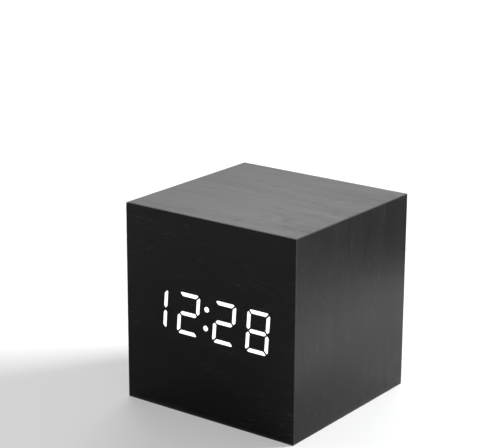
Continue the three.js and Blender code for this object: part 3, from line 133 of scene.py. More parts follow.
class Finish(Nodes):
    """A material of one Principled shader, with the nodes that vary it over the surface."""

    def __init__(self, name, **constants):
        self.material = bpy.data.materials.new(FINISH_PREFIX + name)
        self.material.use_nodes = True
        super().__init__(self.material.node_tree)
        self.shader = self.tree.nodes["Principled BSDF"]
        self.feed(**constants)

    def at(self, scale):
        """The place on the object, scaled for a pattern."""
        place = self.node("ShaderNodeTexCoord", output="Object")
        return self.node("ShaderNodeMapping", sockets={"Vector": place, "Scale": scale})

    def along(self, axis):
        """The place along one axis of the object, in metres."""
        place = self.node("ShaderNodeTexCoord", output="Object")
        return self.node("ShaderNodeSeparateXYZ", sockets={0: place}, output=axis)

    def noise(self, scale, detail=2.0, roughness=0.5, distortion=0.0):
        """Noise over the object. The scale is one number, or one for each axis."""
        stretch, scale = (scale, 1.0) if isinstance(scale, tuple) else (EVEN, scale)
        sockets = {"Vector": self.at(stretch), "Scale": scale, "Detail": detail}
        sockets |= {"Roughness": roughness, "Distortion": distortion}
        return self.node("ShaderNodeTexNoise", sockets=sockets)

    def step(self, value, low, high, start=0.0, end=1.0):
        """start below low, end above high, and a smooth step between."""
        settings = {"interpolation_type": "SMOOTHSTEP"}
        sockets = {"Value": value, "From Min": low, "From Max": high, "To Min": start, "To Max": end}
        return self.node("ShaderNodeMapRange", settings, sockets)

    def mix(self, factor, first, second):
        """A colour between two colours."""
        sockets = {0: factor}
        for key, color in ((6, first), (7, second)):
            sockets[key] = color if isinstance(color, Wire) else (*color, 1.0)
        return self.node("ShaderNodeMix", {"data_type": "RGBA"}, sockets, output=2)

    def edges(self, width):
        """1 along the sharp edges, to that distance from them, and 0 on flat ground."""
        at_edge, on_flat = 0.93, 0.998
        rounded = self.node("ShaderNodeBevel", {"samples": 6}, {"Radius": width})
        flat = self.node("ShaderNodeNewGeometry", output="Normal")
        sockets = {0: rounded, 1: flat}
        together = self.node("ShaderNodeVectorMath", {"operation": "DOT_PRODUCT"}, sockets, "Value")
        return self.step(together, at_edge, on_flat, 1.0, 0.0)

    def feed(self, **wires):
        """Links or sets sockets of the shader."""
        for key, wire in wires.items():
            self.put(self.shader.inputs[key.replace("_", " ")], wire)

    def dress(self, color, roughness, height, depth, strength=1.0):
        """Gives the surface its colour, its roughness and its relief, whose depth is in millimetres."""
        sockets = {"Height": height, "Distance": depth * MM, "Strength": strength}
        relief = self.node("ShaderNodeBump", sockets=sockets)
        self.feed(Base_Color=color, Roughness=roughness, Normal=relief)


def stretched(axis, lengthwise, crosswise):
    """Scale of a pattern that runs along one axis."""
    scale = [crosswise, crosswise, crosswise]
    scale[axis] = lengthwise
    return tuple(scale)


# Finishes


def film_finish(name, axis, highlight):
    """Black wood-grain film: short pores in patches along the grain, soft bands, satin gloss, and a paler
    painted highlight along its sharp edges.
    """
    film = bpy.context.scene.clock_film
    dark, light = tuple(film.color), tuple(film.streak_color)
    finish = Finish(name, Specular_IOR_Level=film.gloss, IOR=1.5)
    bands = finish.noise(stretched(axis, 18, 150), detail=3.0, roughness=0.6)
    streaks = finish.noise(stretched(axis, 110, 1500), detail=3.0, roughness=0.6)
    patches = finish.noise(stretched(axis, 70, 190), distortion=0.6)
    patch = finish.step(patches, 0.44, 0.64, 0.12)
    ripples = finish.noise(stretched(axis, 330, 2300), distortion=0.5)
    ripple = finish.step(ripples, 0.55, 0.72) * patch
    pores = finish.noise(stretched(axis, 260, 3300), detail=1.0, distortion=0.3)
    pore = finish.step(pores, 0.58, 0.7) * patch
    streak = finish.step(streaks, 0.45, 0.75)
    tone = 0.35 * bands + 0.2 * streak + 0.9 * ripple - 0.5 * pore
    ground = finish.mix(finish.step(tone, 0.0, 1.0), dark, light)
    # The paler line along the sharp edges is a painted highlight, strong on the upright side sheets and
    # faint on the others.
    color = finish.mix(highlight * finish.edges(film.highlight_width), ground, (0.1, 0.1, 0.102))
    rough = film.roughness + 0.22 * (bands - 0.5) + 0.1 * pore - 0.06 * ripple
    height = 0.35 * streaks + 0.6 * ripple - 0.8 * pore + 0.2 * bands
    finish.dress(color, rough, height, 0.03, 0.8)


def fibreboard_finish(name):
    """Raw fibreboard inside, with its rear edges sprayed black."""
    sprayed_from, sprayed_to = 27.4 * MM, 27.9 * MM
    finish = Finish(name, Specular_IOR_Level=0.3)
    fibres = finish.noise((900, 2600, 2600), detail=4.0, roughness=0.7)
    clouds = finish.noise(160)
    raw = finish.mix(0.7 * fibres + 0.3 * clouds, (0.19, 0.115, 0.058), (0.36, 0.245, 0.135))
    lacquer = finish.mix(fibres, (0.008, 0.008, 0.009), (0.022, 0.021, 0.021))
    sprayed = finish.step(finish.along(Y_AXIS), sprayed_from, sprayed_to)
    finish.dress(finish.mix(sprayed, raw, lacquer), 0.85 - 0.25 * sprayed, fibres, 0.06, 0.7)


def moulded_finish(name, dark, light, roughness, depth):
    """Moulded plastic with the fine pitted texture of an eroded mould, paler on its edges."""
    pit_size = 0.28 * MM
    finish = Finish(name, Specular_IOR_Level=0.42)
    pits = finish.noise(1 / pit_size, roughness=0.6)
    clouds = finish.noise(90, detail=3.0)
    worn = finish.edges(0.12 * MM)
    pale = tuple(min(1.0, 2.2 * part + 0.01) for part in light)
    color = finish.mix(0.4 * worn, finish.mix(0.6 * clouds + 0.4 * pits, dark, light), pale)
    rough = roughness + 0.14 * (clouds - 0.5) + 0.08 * (pits - 0.5) - 0.08 * worn
    finish.dress(color, rough, pits, depth)


def lit_finish(name):
    """Frosted plastic lit white from behind, a touch dimmer where the diffuser is thicker."""
    display = bpy.context.scene.clock_display
    finish = Finish(name, Base_Color=(0.85, 0.88, 0.9, 1.0), Roughness=0.5)
    light = tuple(display.light_color)
    dim = tuple(0.93 * part for part in light)
    color = finish.mix(finish.step(finish.noise(420), 0.35, 0.7), light, dim)
    finish.feed(Emission_Color=color, Emission_Strength=display.light_strength)


def laminate_finish(name):
    """Green solder mask over copper tracks, on glass cloth."""
    finish = Finish(name, IOR=1.5, Specular_IOR_Level=0.5)
    sockets = {"Vector": finish.at((420, 420, 420)), "Scale": 1.0}
    tracks = finish.node("ShaderNodeTexVoronoi", {"feature": "DISTANCE_TO_EDGE"}, sockets)
    track = finish.step(tracks, 0.05, 0.08, 1.0, 0.0)
    weave = finish.noise(1600, detail=1.0)
    worn = finish.edges(0.15 * MM)
    mask = finish.mix(weave, (0.008, 0.075, 0.03), (0.016, 0.13, 0.055))
    tracked = finish.mix(0.75 * track, mask, (0.045, 0.25, 0.1))
    color = finish.mix(0.8 * worn, tracked, (0.35, 0.38, 0.2))
    finish.dress(color, 0.28 + 0.2 * weave + 0.3 * worn, track, 0.02, 0.6)


def resin_finish(name, dark, light, roughness):
    """Cast or moulded resin with a fine even grain."""
    finish = Finish(name, Specular_IOR_Level=0.45)
    grains, clouds = finish.noise(3200), finish.noise(240)
    color = finish.mix(0.5 * grains + 0.5 * clouds, dark, light)
    finish.dress(color, roughness + 0.1 * (grains - 0.5), grains, 0.01, 0.5)


def metal_finish(name, dark, light, roughness, axis=X_AXIS):
    """Plated sheet or wire with fine drawing lines and dull patches."""
    finish = Finish(name, Metallic=1.0)
    lines = finish.noise(stretched(axis, 120, 2600), detail=3.0, roughness=0.7)
    patches = finish.noise(300, detail=3.0)
    worn = finish.edges(0.1 * MM)
    color = finish.mix(0.5 * lines + 0.5 * patches, dark, light)
    rough = roughness + 0.18 * (lines - 0.5) + 0.14 * (patches - 0.5) - 0.06 * worn
    finish.dress(color, rough, lines, 0.006, 0.5)


def ribbon_finish(name):
    """Flat cable: grey insulation with a faint line along each of its cores."""
    core_pitch = 1.0 * MM
    finish = Finish(name, Specular_IOR_Level=0.4)
    cloud = finish.noise(500, detail=3.0)
    core = finish.calc("SINE", finish.along(X_AXIS) * (2 * math.pi / core_pitch))
    color = finish.mix(0.5 + 0.35 * core, (0.17, 0.18, 0.195), (0.31, 0.32, 0.34))
    finish.dress(color, 0.42 + 0.2 * (cloud - 0.5), core, 0.05, 0.8)


def sleeve_finish(name, dark, light):
    """The cells' plain shrink sleeve."""
    finish = Finish(name, Specular_IOR_Level=0.5, IOR=1.5)
    cloud = finish.noise((60, 300, 300), detail=3.0)
    finish.dress(finish.mix(cloud, dark, light), 0.26 + 0.12 * cloud, cloud, 0.02, 0.4)


def sheath_finish(name, dark, light):
    """Extruded wire insulation, a little uneven."""
    finish = Finish(name, Specular_IOR_Level=0.4)
    cloud = finish.noise(700, detail=3.0)
    finish.dress(finish.mix(cloud, dark, light), 0.42 + 0.2 * (cloud - 0.5), cloud, 0.015, 0.5)


# Each finish: how it is made, its name, and the values that set it apart.
FINISHES = (
    # The film rows' last value is the strength of the film's painted edge highlight.
    (film_finish, "film_lengthwise", X_AXIS, 0.2),
    (film_finish, "film_upright", Z_AXIS, 1.0),
    (fibreboard_finish, "fibreboard"),
    (moulded_finish, "cover_plastic", (0.0085, 0.0088, 0.0095), (0.016, 0.0165, 0.0175), 0.5, 0.012),
    (moulded_finish, "button_plastic", (0.02, 0.0205, 0.022), (0.033, 0.034, 0.036), 0.42, 0.004),
    (moulded_finish, "inner_plastic", (0.006, 0.006, 0.0065), (0.013, 0.013, 0.014), 0.38, 0.004),
    (moulded_finish, "white_plastic", (0.66, 0.66, 0.63), (0.78, 0.78, 0.75), 0.45, 0.004),
    (moulded_finish, "mark_plastic", (0.03, 0.031, 0.033), (0.045, 0.046, 0.048), 0.36, 0.003),
    (lit_finish, "lit_plastic"),
    (laminate_finish, "green_laminate"),
    (resin_finish, "led_resin", (0.7, 0.62, 0.3), (0.86, 0.8, 0.46), 0.22),
    (resin_finish, "black_resin", (0.009, 0.009, 0.01), (0.02, 0.02, 0.021), 0.5),
    (metal_finish, "nickel", (0.42, 0.42, 0.41), (0.56, 0.56, 0.55), 0.3),
    (metal_finish, "dark_steel", (0.035, 0.036, 0.038), (0.075, 0.076, 0.078), 0.42),
    (metal_finish, "brass", (0.42, 0.3, 0.1), (0.56, 0.41, 0.16), 0.28, Y_AXIS),
    (metal_finish, "microphone_metal", (0.2, 0.2, 0.2), (0.3, 0.3, 0.3), 0.4),
    (ribbon_finish, "ribbon_sheath"),
    (sleeve_finish, "cell_sleeve", (0.035, 0.13, 0.3), (0.05, 0.18, 0.38)),
    (sleeve_finish, "cell_band", (0.36, 0.365, 0.37), (0.44, 0.445, 0.45)),
    (sheath_finish, "red_sheath", (0.3, 0.012, 0.012), (0.42, 0.022, 0.02)),
    (sheath_finish, "black_sheath", (0.008, 0.008, 0.008), (0.02, 0.02, 0.02)),
    (sheath_finish, "grey_sheath", (0.2, 0.21, 0.225), (0.3, 0.31, 0.33)),
)


def finish_named(name):
    """A finish that the first operator made."""
    return bpy.data.materials[FINISH_PREFIX + name]


# Mesh work


WELD = 0.001 * MM
NEAR = 10 * WELD
SLIVER = 20 * WELD
FLAT_ANGLE = math.radians(0.5)
CREASE = 50.0
ROUND_SIDES = 64


def linked(name, data):
    """A new object in the scene."""
    made = bpy.data.objects.new(name, data)
    bpy.context.scene.collection.objects.link(made)
    return made


def put_piece(name, mesh, body, nodes=(), material=None):
    """Puts a finished mesh in the scene as a piece that rides on a body, in place of CAD nodes."""
    if material is not None:
        mesh.materials.clear()
        mesh.materials.append(finish_named(material))
    piece = linked(name, mesh)
    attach(piece, body)
    if nodes:
        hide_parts(*nodes)


def dress_nodes(material, *nodes):
    """A better material for CAD nodes that stay."""
    for node in nodes:
        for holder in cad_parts[node].material_slots:
            holder.material = finish_named(material)


def middle_of(node):
    """The middle of a CAD node's box."""
    low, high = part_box(node)
    return (low + high) / 2


def across(node):
    """The middle of a CAD node's box across the back, as (x, z)."""
    middle = middle_of(node)
    return middle.x, middle.z


def mesh_of(shape, name, sharp_degrees=35.0):
    """A bmesh as a mesh with smooth rounds and sharp corners."""
    bmesh.ops.recalc_face_normals(shape, faces=shape.faces)
    mesh = bpy.data.meshes.new(name)
    shape.to_mesh(mesh)
    shape.free()
    mesh.shade_smooth()
    mesh.set_sharp_from_angle(angle=math.radians(sharp_degrees))
    return mesh


def shape_of(*meshes):
    """One bmesh of several meshes."""
    shape = bmesh.new()
    for mesh in meshes:
        shape.from_mesh(mesh)
    return shape


def welded(shape, apart):
    """The shape with points nearer than that merged and its flat faces joined."""
    bmesh.ops.remove_doubles(shape, verts=shape.verts, dist=apart)
    bmesh.ops.dissolve_limit(shape, angle_limit=FLAT_ANGLE, verts=shape.verts, edges=shape.edges)
    return shape


def welded_copy(node):
    """A CAD node's shape with its points merged and its flat faces joined."""
    return welded(shape_of(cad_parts[node].data), WELD)


def cleaned(shape):
    """A cut shape without the tiny edges and split flat faces that cutting leaves."""
    welded(shape, 2 * WELD)
    bmesh.ops.remove_doubles(shape, verts=shape.verts, dist=SLIVER)
    return shape


def sharp_edges(shape, degrees=CREASE):
    """The convex and hollow edges at which the faces turn by more than that angle."""
    least = math.radians(degrees)
    return [edge for edge in shape.edges if len(edge.link_faces) == 2 and edge.calc_face_angle() > least]


def planes_held(edge, low, high):
    """In how many planes of a box an edge lies."""
    planes = [(axis, corner[axis]) for axis in range(3) for corner in (low, high)]
    return sum(all(abs(vert.co[axis] - at) < NEAR for vert in edge.verts) for axis, at in planes)


def soften(shape, width, edges, segments=2, clamp=True):
    """Rounds edges of a shape. With clamp, a short edge anywhere makes all the rounds smaller."""
    bmesh.ops.bevel(
        shape, geom=edges, offset=width, offset_type="OFFSET", segments=segments, profile=0.5,
        affect="EDGES", clamp_overlap=clamp,
    )


def evaluated_mesh(helper):
    """The plain mesh that a helper's modifiers or curve give. The helper is removed."""
    graph = bpy.context.evaluated_depsgraph_get()
    mesh = bpy.data.meshes.new_from_object(
        helper.evaluated_get(graph), preserve_all_data_layers=True, depsgraph=graph
    )
    bpy.data.objects.remove(helper)
    return mesh


def worked_mesh(mesh, kind, **settings):
    """The plain mesh that a modifier makes of a mesh."""
    holder = linked("worked", mesh)
    modifier = holder.modifiers.new(kind.lower(), kind)
    for key, value in settings.items():
        setattr(modifier, key, value)
    return evaluated_mesh(holder)


def cut_away(shape, cutters):
    """The shape less closed cutters that don't touch each other."""
    tool = linked("cutters", mesh_of(cutters, "cutters"))
    whole = mesh_of(shape, "whole")
    mesh = worked_mesh(whole, "BOOLEAN", operation="DIFFERENCE", solver="EXACT", object=tool)
    bpy.data.objects.remove(tool)
    return shape_of(mesh)


def flat_mesh(shape, name):
    """A bmesh as a mesh with the normals of its large faces kept straight beside its rounds."""
    return worked_mesh(mesh_of(shape, name), "WEIGHTED_NORMAL", keep_sharp=True, weight=100)


def softened_node(node, name, width):
    """A CAD node's shape with its sharp edges rounded."""
    shape = welded_copy(node)
    soften(shape, width, sharp_edges(shape))
    return flat_mesh(shape, name)


def skin(shape, one, other):
    """Faces between two closed rings of points. A ring of one point is a tip."""
    faces = []
    for i in range(max(len(one), len(other))):
        near, far = ((ring[i % len(ring)], ring[(i + 1) % len(ring)]) for ring in (one, other))
        faces.append(shape.faces.new(tuple(dict.fromkeys((*near, *far[::-1])))))
    return faces


def loft(shape, outlines):
    """Adds a closed body through outlines, each of as many points or of one. Gives its faces."""
    rings = [[shape.verts.new(point) for point in outline] for outline in outlines]
    faces = [face for one, other in zip(rings, rings[1:]) for face in skin(shape, one, other)]
    caps = [ring for ring in (rings[0][::-1], rings[-1]) if len(ring) > 1]
    return faces + [shape.faces.new(ring) for ring in caps]


def prism(shape, outline, low, high):
    """Adds a prism along Y to a shape. The outline is (x, z)."""
    loft(shape, [[(x, y, z) for x, z in outline] for y in (low, high)])


def box_shape(shape, low, high):
    """Adds a box to a shape."""
    outline = [(low[0], low[2]), (high[0], low[2]), (high[0], high[2]), (low[0], high[2])]
    prism(shape, outline, low[1], high[1])


def circle(sides):
    """Points of a unit circle."""
    angles = [2 * math.pi * i / sides for i in range(sides)]
    return [(math.cos(angle), math.sin(angle)) for angle in angles]


def turned(shape, profile, start, heading, sides=ROUND_SIDES):
    """Adds a turned body to a shape. The profile is (radius, distance along heading) from start."""
    heading = Vector(heading).normalized()
    side = heading.orthogonal().normalized()
    other = heading.cross(side)
    outlines = []
    for radius, along in profile:
        centre = Vector(start) + heading * along
        ring = circle(sides) if radius > 0 else [(0.0, 0.0)]
        outlines.append([centre + (side * (radius * a) + other * (radius * b)) for a, b in ring])
    return loft(shape, outlines)


def rounded_profile(points, radius):
    """A profile with its inner points rounded. Points are (radius, distance)."""
    steps = 4
    vectors = [Vector(point) for point in points]
    result = [vectors[0]]
    for before, corner, after in zip(vectors, vectors[1:], vectors[2:]):
        reach = min(radius, (before - corner).length / 2, (after - corner).length / 2)
        start = corner + (before - corner).normalized() * reach
        end = corner + (after - corner).normalized() * reach
        for i in range(steps + 1):
            t = i / steps
            result.append(start * (1 - t) ** 2 + corner * (2 * t * (1 - t)) + end * t**2)
    result.append(vectors[-1])
    kept = result[:1]
    for point in result[1:]:
        if (point - kept[-1]).length > WELD:
            kept.append(point)
    return [tuple(point) for point in kept]


def rod_profile(node, radius, rounding):
    """The profile of a plain round rod as long as a CAD node is deep, its ends rounded."""
    low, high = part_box(node)
    length = high.y - low.y
    return rounded_profile([(0.0, 0.0), (radius, 0.0), (radius, length), (0.0, length)], rounding)


def put_turned(node, name, body, material, profile, sides=ROUND_SIDES):
    """Puts a turned body in a CAD node's place. It starts at the node's front and runs back."""
    x, z = across(node)
    shape = bmesh.new()
    turned(shape, profile, (x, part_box(node)[0].y, z), ALONG_Y, sides)
    put_piece(name, mesh_of(shape, name), body, [node], material)


def put_softened(node, name, body, material, width):
    """Puts a CAD node's shape with its sharp edges rounded in its place."""
    put_piece(name, softened_node(node, name, width), body, [node], material)


# Shapes by Geometry Nodes


class Recipe(Nodes):
    """A Geometry Nodes tree with named inputs for its sizes."""

    def __init__(self, name):
        super().__init__(bpy.data.node_groups.new(name, "GeometryNodeTree"))
        self.identifiers = {}
        for way in ("INPUT", "OUTPUT"):
            self.tree.interface.new_socket("Geometry", in_out=way, socket_type="NodeSocketGeometry")
        self.inlet = self.tree.nodes.new("NodeGroupInput")
        self.outlet = self.tree.nodes.new("NodeGroupOutput")

    def input(self, name, kind="Float"):
        """A new input of the tree, as a wire."""
        socket = self.tree.interface.new_socket(name, in_out="INPUT", socket_type="NodeSocket" + kind)
        self.identifiers[name] = socket.identifier
        return Wire(self, self.inlet.outputs[name])

    def copies(self, helper, points, turn=ORIGIN):
        """A copy of a helper object's mesh on each point."""
        shape = self.node("GeometryNodeObjectInfo", sockets={"Object": helper}, output="Geometry")
        sockets = {"Points": points, "Instance": shape, "Rotation": turn}
        return self.node("GeometryNodeInstanceOnPoints", sockets=sockets)

    def close(self, geometry, material):
        """Ends the tree: real geometry with its material."""
        real = self.node("GeometryNodeRealizeInstances", sockets={0: geometry})
        sockets = {"Geometry": real, "Material": finish_named(material)}
        painted = self.node("GeometryNodeSetMaterial", sockets=sockets)
        self.tree.links.new(painted.socket, self.outlet.inputs[0])
        return self

    def make(self, name, points=(ORIGIN,), **values):
        """The plain mesh that the tree gives for these points and sizes."""
        seed = bpy.data.meshes.new(name + "_points")
        seed.from_pydata([tuple(point) for point in points], [], [])
        holder = linked(name + "_holder", seed)
        modifier = holder.modifiers.new("recipe", "NODES")
        modifier.node_group = self.tree
        for key, value in values.items():
            modifier[self.identifiers[key.replace("_", " ")]] = value
        mesh = evaluated_mesh(holder)
        mesh.name = name
        if mesh.materials[0] is None:
            mesh.materials.pop(index=0)
        return mesh


def fastener_recipe(material):
    """One fastener on every point, each turned a little differently about Y."""
    recipe = Recipe("fasteners")
    fastener = recipe.input("Fastener", "Object")
    seed = recipe.input("Seed", "Int")
    limits = {0: ORIGIN, 1: (0.0, math.pi / 2, 0.0), "Seed": seed}
    turn = recipe.node("FunctionNodeRandomValue", {"data_type": "FLOAT_VECTOR"}, limits)
    places = Wire(recipe, recipe.inlet.outputs["Geometry"])
    points = recipe.node("GeometryNodeMeshToPoints", sockets={"Mesh": places})
    return recipe.close(recipe.copies(fastener, points, turn), material)


def coil_recipe(material):
    """A conical coil of round wire along Z."""
    recipe = Recipe("coil")
    sizes = {
        "Resolution": recipe.input("Steps per turn", "Int"),
        "Rotations": recipe.input("Turns"),
        "Start Radius": recipe.input("Base radius"),
        "End Radius": recipe.input("Tip radius"),
        "Height": recipe.input("Height"),
    }
    spiral = recipe.node("GeometryNodeCurveSpiral", sockets=sizes)
    sizes = {"Resolution": 12, "Radius": recipe.input("Wire radius")}
    wire = recipe.node("GeometryNodeCurvePrimitiveCircle", {"mode": "RADIUS"}, sizes)
    sockets = {"Curve": spiral, "Profile Curve": wire, "Fill Caps": True}
    tube = recipe.node("GeometryNodeCurveToMesh", sockets=sockets)
    smooth = recipe.node("GeometryNodeSetShadeSmooth", sockets={"Geometry": tube})
    return recipe.close(smooth, material)


def rib_recipe(material):
    """A row of equal ribs, each a copy of one rib."""
    recipe = Recipe("ribs")
    rib = recipe.input("Rib", "Object")
    sizes = {
        "Count": recipe.input("Count", "Int"),
        "Start Location": recipe.input("Start", "Vector"),
        "Offset": recipe.input("Step", "Vector"),
    }
    line = recipe.node("GeometryNodeMeshLine", {"mode": "OFFSET"}, sizes)
    return recipe.close(recipe.copies(rib, line), material)


# Settings


def length_of(name, description, millimetres):
    """A length property, given in millimetres."""
    return FloatProperty(
        name=name, description=description, default=millimetres * MM, min=0, unit="LENGTH", precision=5
    )


def share_of(name, description, share):
    """A property from 0 to 1."""
    return FloatProperty(name=name, description=description, default=share, min=0, max=1)


def amount_of(name, description, amount):
    """A property that isn't below 0."""
    return FloatProperty(name=name, description=description, default=amount, min=0)


def angle_of(name, description, degrees):
    """An angle property, given in degrees."""
    return FloatProperty(
        name=name, description=description, default=math.radians(degrees), subtype="ANGLE"
    )


def color_of(name, description, color):
    """A colour property."""
    return FloatVectorProperty(
        name=name, description=description, default=color, subtype="COLOR", size=3, min=0, max=1
    )


class ClockFilmSettings(bpy.types.PropertyGroup):
    """The wood-grain film on the case."""

    color: color_of("Film", "Darkest colour of the film", (0.0075, 0.0078, 0.0084))
    streak_color: color_of("Grain", "Colour of the paler grain lines", (0.021, 0.0212, 0.0216))
    roughness: share_of("Roughness", "How matte the film is", 0.42)
    gloss: share_of("Gloss level", "Strength of the film's reflection", 0.29)
    # The paler line along the film's edges is a painted highlight.
    highlight_width: length_of("Edge wear", "Width of the paler line along the edges", 0.32)
    edge_round: length_of("Edge rounding", "Rounding along the film's folded edges", 0.16)


class ClockDisplaySettings(bpy.types.PropertyGroup):
    """The lit digits behind the film."""

    light_color: color_of("Light", "Colour of the lit segments", (1.0, 1.0, 1.0))
    light_strength: amount_of("Strength", "Brightness of the lit segments", 0.98)


class ClockMouldingSettings(bpy.types.PropertyGroup):
    """The black mouldings at the back."""

    edge_round: length_of("Edge rounding", "Rounding along the mouldings' edges", 0.12)
    rib_height: length_of("Grip ribs", "How far the grip ribs stand proud", 0.25)
    mark_height: length_of("Marks", "How far the moulded marks stand proud", 0.12)
    mark_size: length_of("Mark size", "Height of the moulded marks", 1.2)
    button_hole: length_of("Button hole", "Radius of the holes for the buttons", 2.42)
    screw_hole: length_of("Screw hole", "Radius of the cover's screw holes", 1.56)
    screw_seat: length_of("Screw seat", "Radius of the wells round the screws' heads", 2.62)
    screw_well: length_of("Screw well", "Depth of the wells round the screws' heads", 1.0)
    inlet_hole: length_of("Inlet hole", "Radius of the hole for the power inlet", 3.02)
    sound_hole: length_of("Sound hole", "Radius of the microphone's hole", 0.61)


class ClockBatterySettings(bpy.types.PropertyGroup):
    """The cells and their contacts."""

    cell_band: length_of("Band", "Length of the paler band at a cell's positive end", 9.0)
    plate_thickness: length_of("Plate", "Thickness of the contact plates", 0.4)
    plate_width: length_of("Plate width", "Width of the contact plates", 8.6)
    tail_width: length_of("Solder tail", "Width of the solder tails", 2.0)
    spring_wire: length_of("Spring wire", "Radius of the springs' wire", 0.3)
    spring_turns: amount_of("Turns", "Turns of each spring", 3.0)


class ClockStudioSettings(bpy.types.PropertyGroup):
    """The floor, the lights and the camera."""

    floor_color: color_of("Floor", "Colour of the floor", (0.84, 0.845, 0.85))
    floor_glow: share_of("Floor glow", "Share of plain white in what is seen of the floor", 0.3)
    sky_strength: amount_of("Sky", "Soft light from all round", 0.42)
    key_power: amount_of("Key lamp", "Power of the lamp behind the clock on the right", 32.0)
    back_power: amount_of("Back lamp", "Power of the wide lamp that the top reflects", 24.8)
    azimuth: angle_of("Azimuth", "Direction of the camera round the clock", 36.287)
    elevation: angle_of("Elevation", "Height of the camera above the horizon", 16.775)
    roll: angle_of("Roll", "Turn of the camera about its line of sight", 0.343)
    distance: length_of("Distance", "Camera to the point it looks at", 492.27)
    target: FloatVectorProperty(
        name="Looks at", description="Point that the camera looks at", subtype="TRANSLATION",
        size=3, default=(-6.567 * MM, 0.0, 51.187 * MM), precision=5,
    )
    lens: amount_of("Lens", "Focal length in millimetres on a 36 mm sensor", 119.706)


# Stage


KEY_LAMP = {"place": (0.75, 0.95, 0.7), "target": (0.03, 0.0, 0.03), "size": (0.5, 0.5)}
BACK_LAMP = {"place": (-1.2, 1.65, 1.6), "target": (0.0, 0.0, 0.06), "size": (1.9, 1.2)}
FLOOR_HALF = 3.0
FLOOR_DROP = 0.02 * MM
GLOW_FROM, GLOW_FULL = 0.8, 2.6
CARD_LIFT = 0.4 * MM
SENSOR_WIDTH = 36.0


def facing(azimuth, elevation, roll):
    """Rotation of a camera that stands in that direction and looks back at the clock."""
    level = math.cos(elevation)
    back = Vector((math.sin(azimuth) * level, -math.cos(azimuth) * level, math.sin(elevation)))
    right = Vector((0.0, 0.0, 1.0)).cross(back).normalized()
    up = back.cross(right)
    turned_right = right * math.cos(roll) + up * math.sin(roll)
    turned_up = up * math.cos(roll) - right * math.sin(roll)
    return Matrix((turned_right, turned_up, back)).transposed()


def add_camera(studio):
    """The camera that sees the clock as the settings say."""
    camera = linked("camera", bpy.data.cameras.new("camera"))
    turn = facing(studio.azimuth, studio.elevation, studio.roll)
    place = Vector(studio.target) + turn.col[2] * studio.distance
    camera.matrix_world = Matrix.Translation(place) @ turn.to_4x4()
    camera.data.sensor_width = SENSOR_WIDTH
    camera.data.lens = studio.lens
    camera.data.clip_start = 0.01
    bpy.context.scene.camera = camera


def add_lamp(name, power, place, target, size):
    """A soft rectangular lamp that faces a point."""
    light = bpy.data.lights.new(name, "AREA")
    light.shape = "RECTANGLE"
    light.size, light.size_y = size
    light.energy = power
    lamp = linked(name, light)
    lamp.location = place
    lamp.rotation_euler = (Vector(target) - Vector(place)).to_track_quat("-Z", "Y").to_euler()
    lamp.visible_camera = False
    return lamp


def seen(nodes):
    """1 for rays by which the camera, a gloss or a clear piece sees the surface."""
    camera, gloss, clear = (
        nodes.node("ShaderNodeLightPath", output=f"Is {kind} Ray")
        for kind in ("Camera", "Glossy", "Transmission")
    )
    return nodes.calc("MAXIMUM", nodes.calc("MAXIMUM", camera, gloss), clear)


def add_world(studio):
    """An even white sky, which lights softly and is seen as plain white."""
    world = bpy.data.worlds.new("soft_sky")
    world.use_nodes = True
    bpy.context.scene.world = world
    nodes = Nodes(world.node_tree)
    back = world.node_tree.nodes["Background"]
    level = studio.sky_strength
    nodes.put(back.inputs["Color"], WHITE)
    nodes.put(back.inputs["Strength"], level + (1.0 - level) * seen(nodes))


def floor_finish(studio):
    """Pale floor that keeps the clock's shadow and reads white farther off."""
    finish = Finish("floor", Specular_IOR_Level=0.2, Roughness=0.9)
    cloud = finish.noise(6.0)
    pale = tuple(studio.floor_color)
    finish.feed(Base_Color=finish.mix(cloud, pale, tuple(0.985 * part for part in pale)))
    glow = finish.node("ShaderNodeEmission", sockets={"Color": WHITE, "Strength": 1.0})
    away = finish.node("ShaderNodeVectorMath", {"operation": "LENGTH"}, {0: finish.at(EVEN)}, "Value")
    share = finish.step(away, GLOW_FROM, GLOW_FULL, studio.floor_glow, 1.0)
    shader = Wire(finish, finish.shader.outputs[0])
    both = finish.node("ShaderNodeMixShader", sockets={0: share * seen(finish), 1: shader, 2: glow})
    finish.tree.links.new(both.socket, finish.tree.nodes["Material Output"].inputs["Surface"])
    return finish.material


def add_floor(studio):
    """The wide floor, a hair below the clock."""
    shape = bmesh.new()
    bmesh.ops.create_grid(shape, x_segments=8, y_segments=8, size=FLOOR_HALF)
    floor = linked("floor", mesh_of(shape, "floor"))
    floor.data.transform(Matrix.Translation((0.0, 0.0, -FLOOR_DROP)))
    floor.data.materials.append(floor_finish(studio))


def add_card(name, corners, tone, glow=0.0):
    """A card that only reflections see. It throws no shadow. What it gives off is tone x glow."""
    shape = bmesh.new()
    shape.faces.new([shape.verts.new(corner) for corner in corners])
    card = linked(name, mesh_of(shape, name))
    finish = Finish(name, Roughness=0.9, Emission_Strength=glow)
    color = finish.mix(finish.noise(60.0), 3 * (0.9 * tone,), 3 * (1.1 * tone,))
    finish.feed(Base_Color=color, Emission_Color=color)
    card.data.materials.append(finish.material)
    for kind in ("camera", "diffuse", "transmission", "shadow"):
        setattr(card, "visible_" + kind, False)


def standing(left, right, y, height):
    """Corners of a card that stands on the floor."""
    return [(left, y, 0.0), (right, y, 0.0), (right, y, height), (left, y, height)]


def lying(*corners):
    """Corners of a card that lies just over the floor."""
    return [(x, y, CARD_LIFT) for x, y in corners]


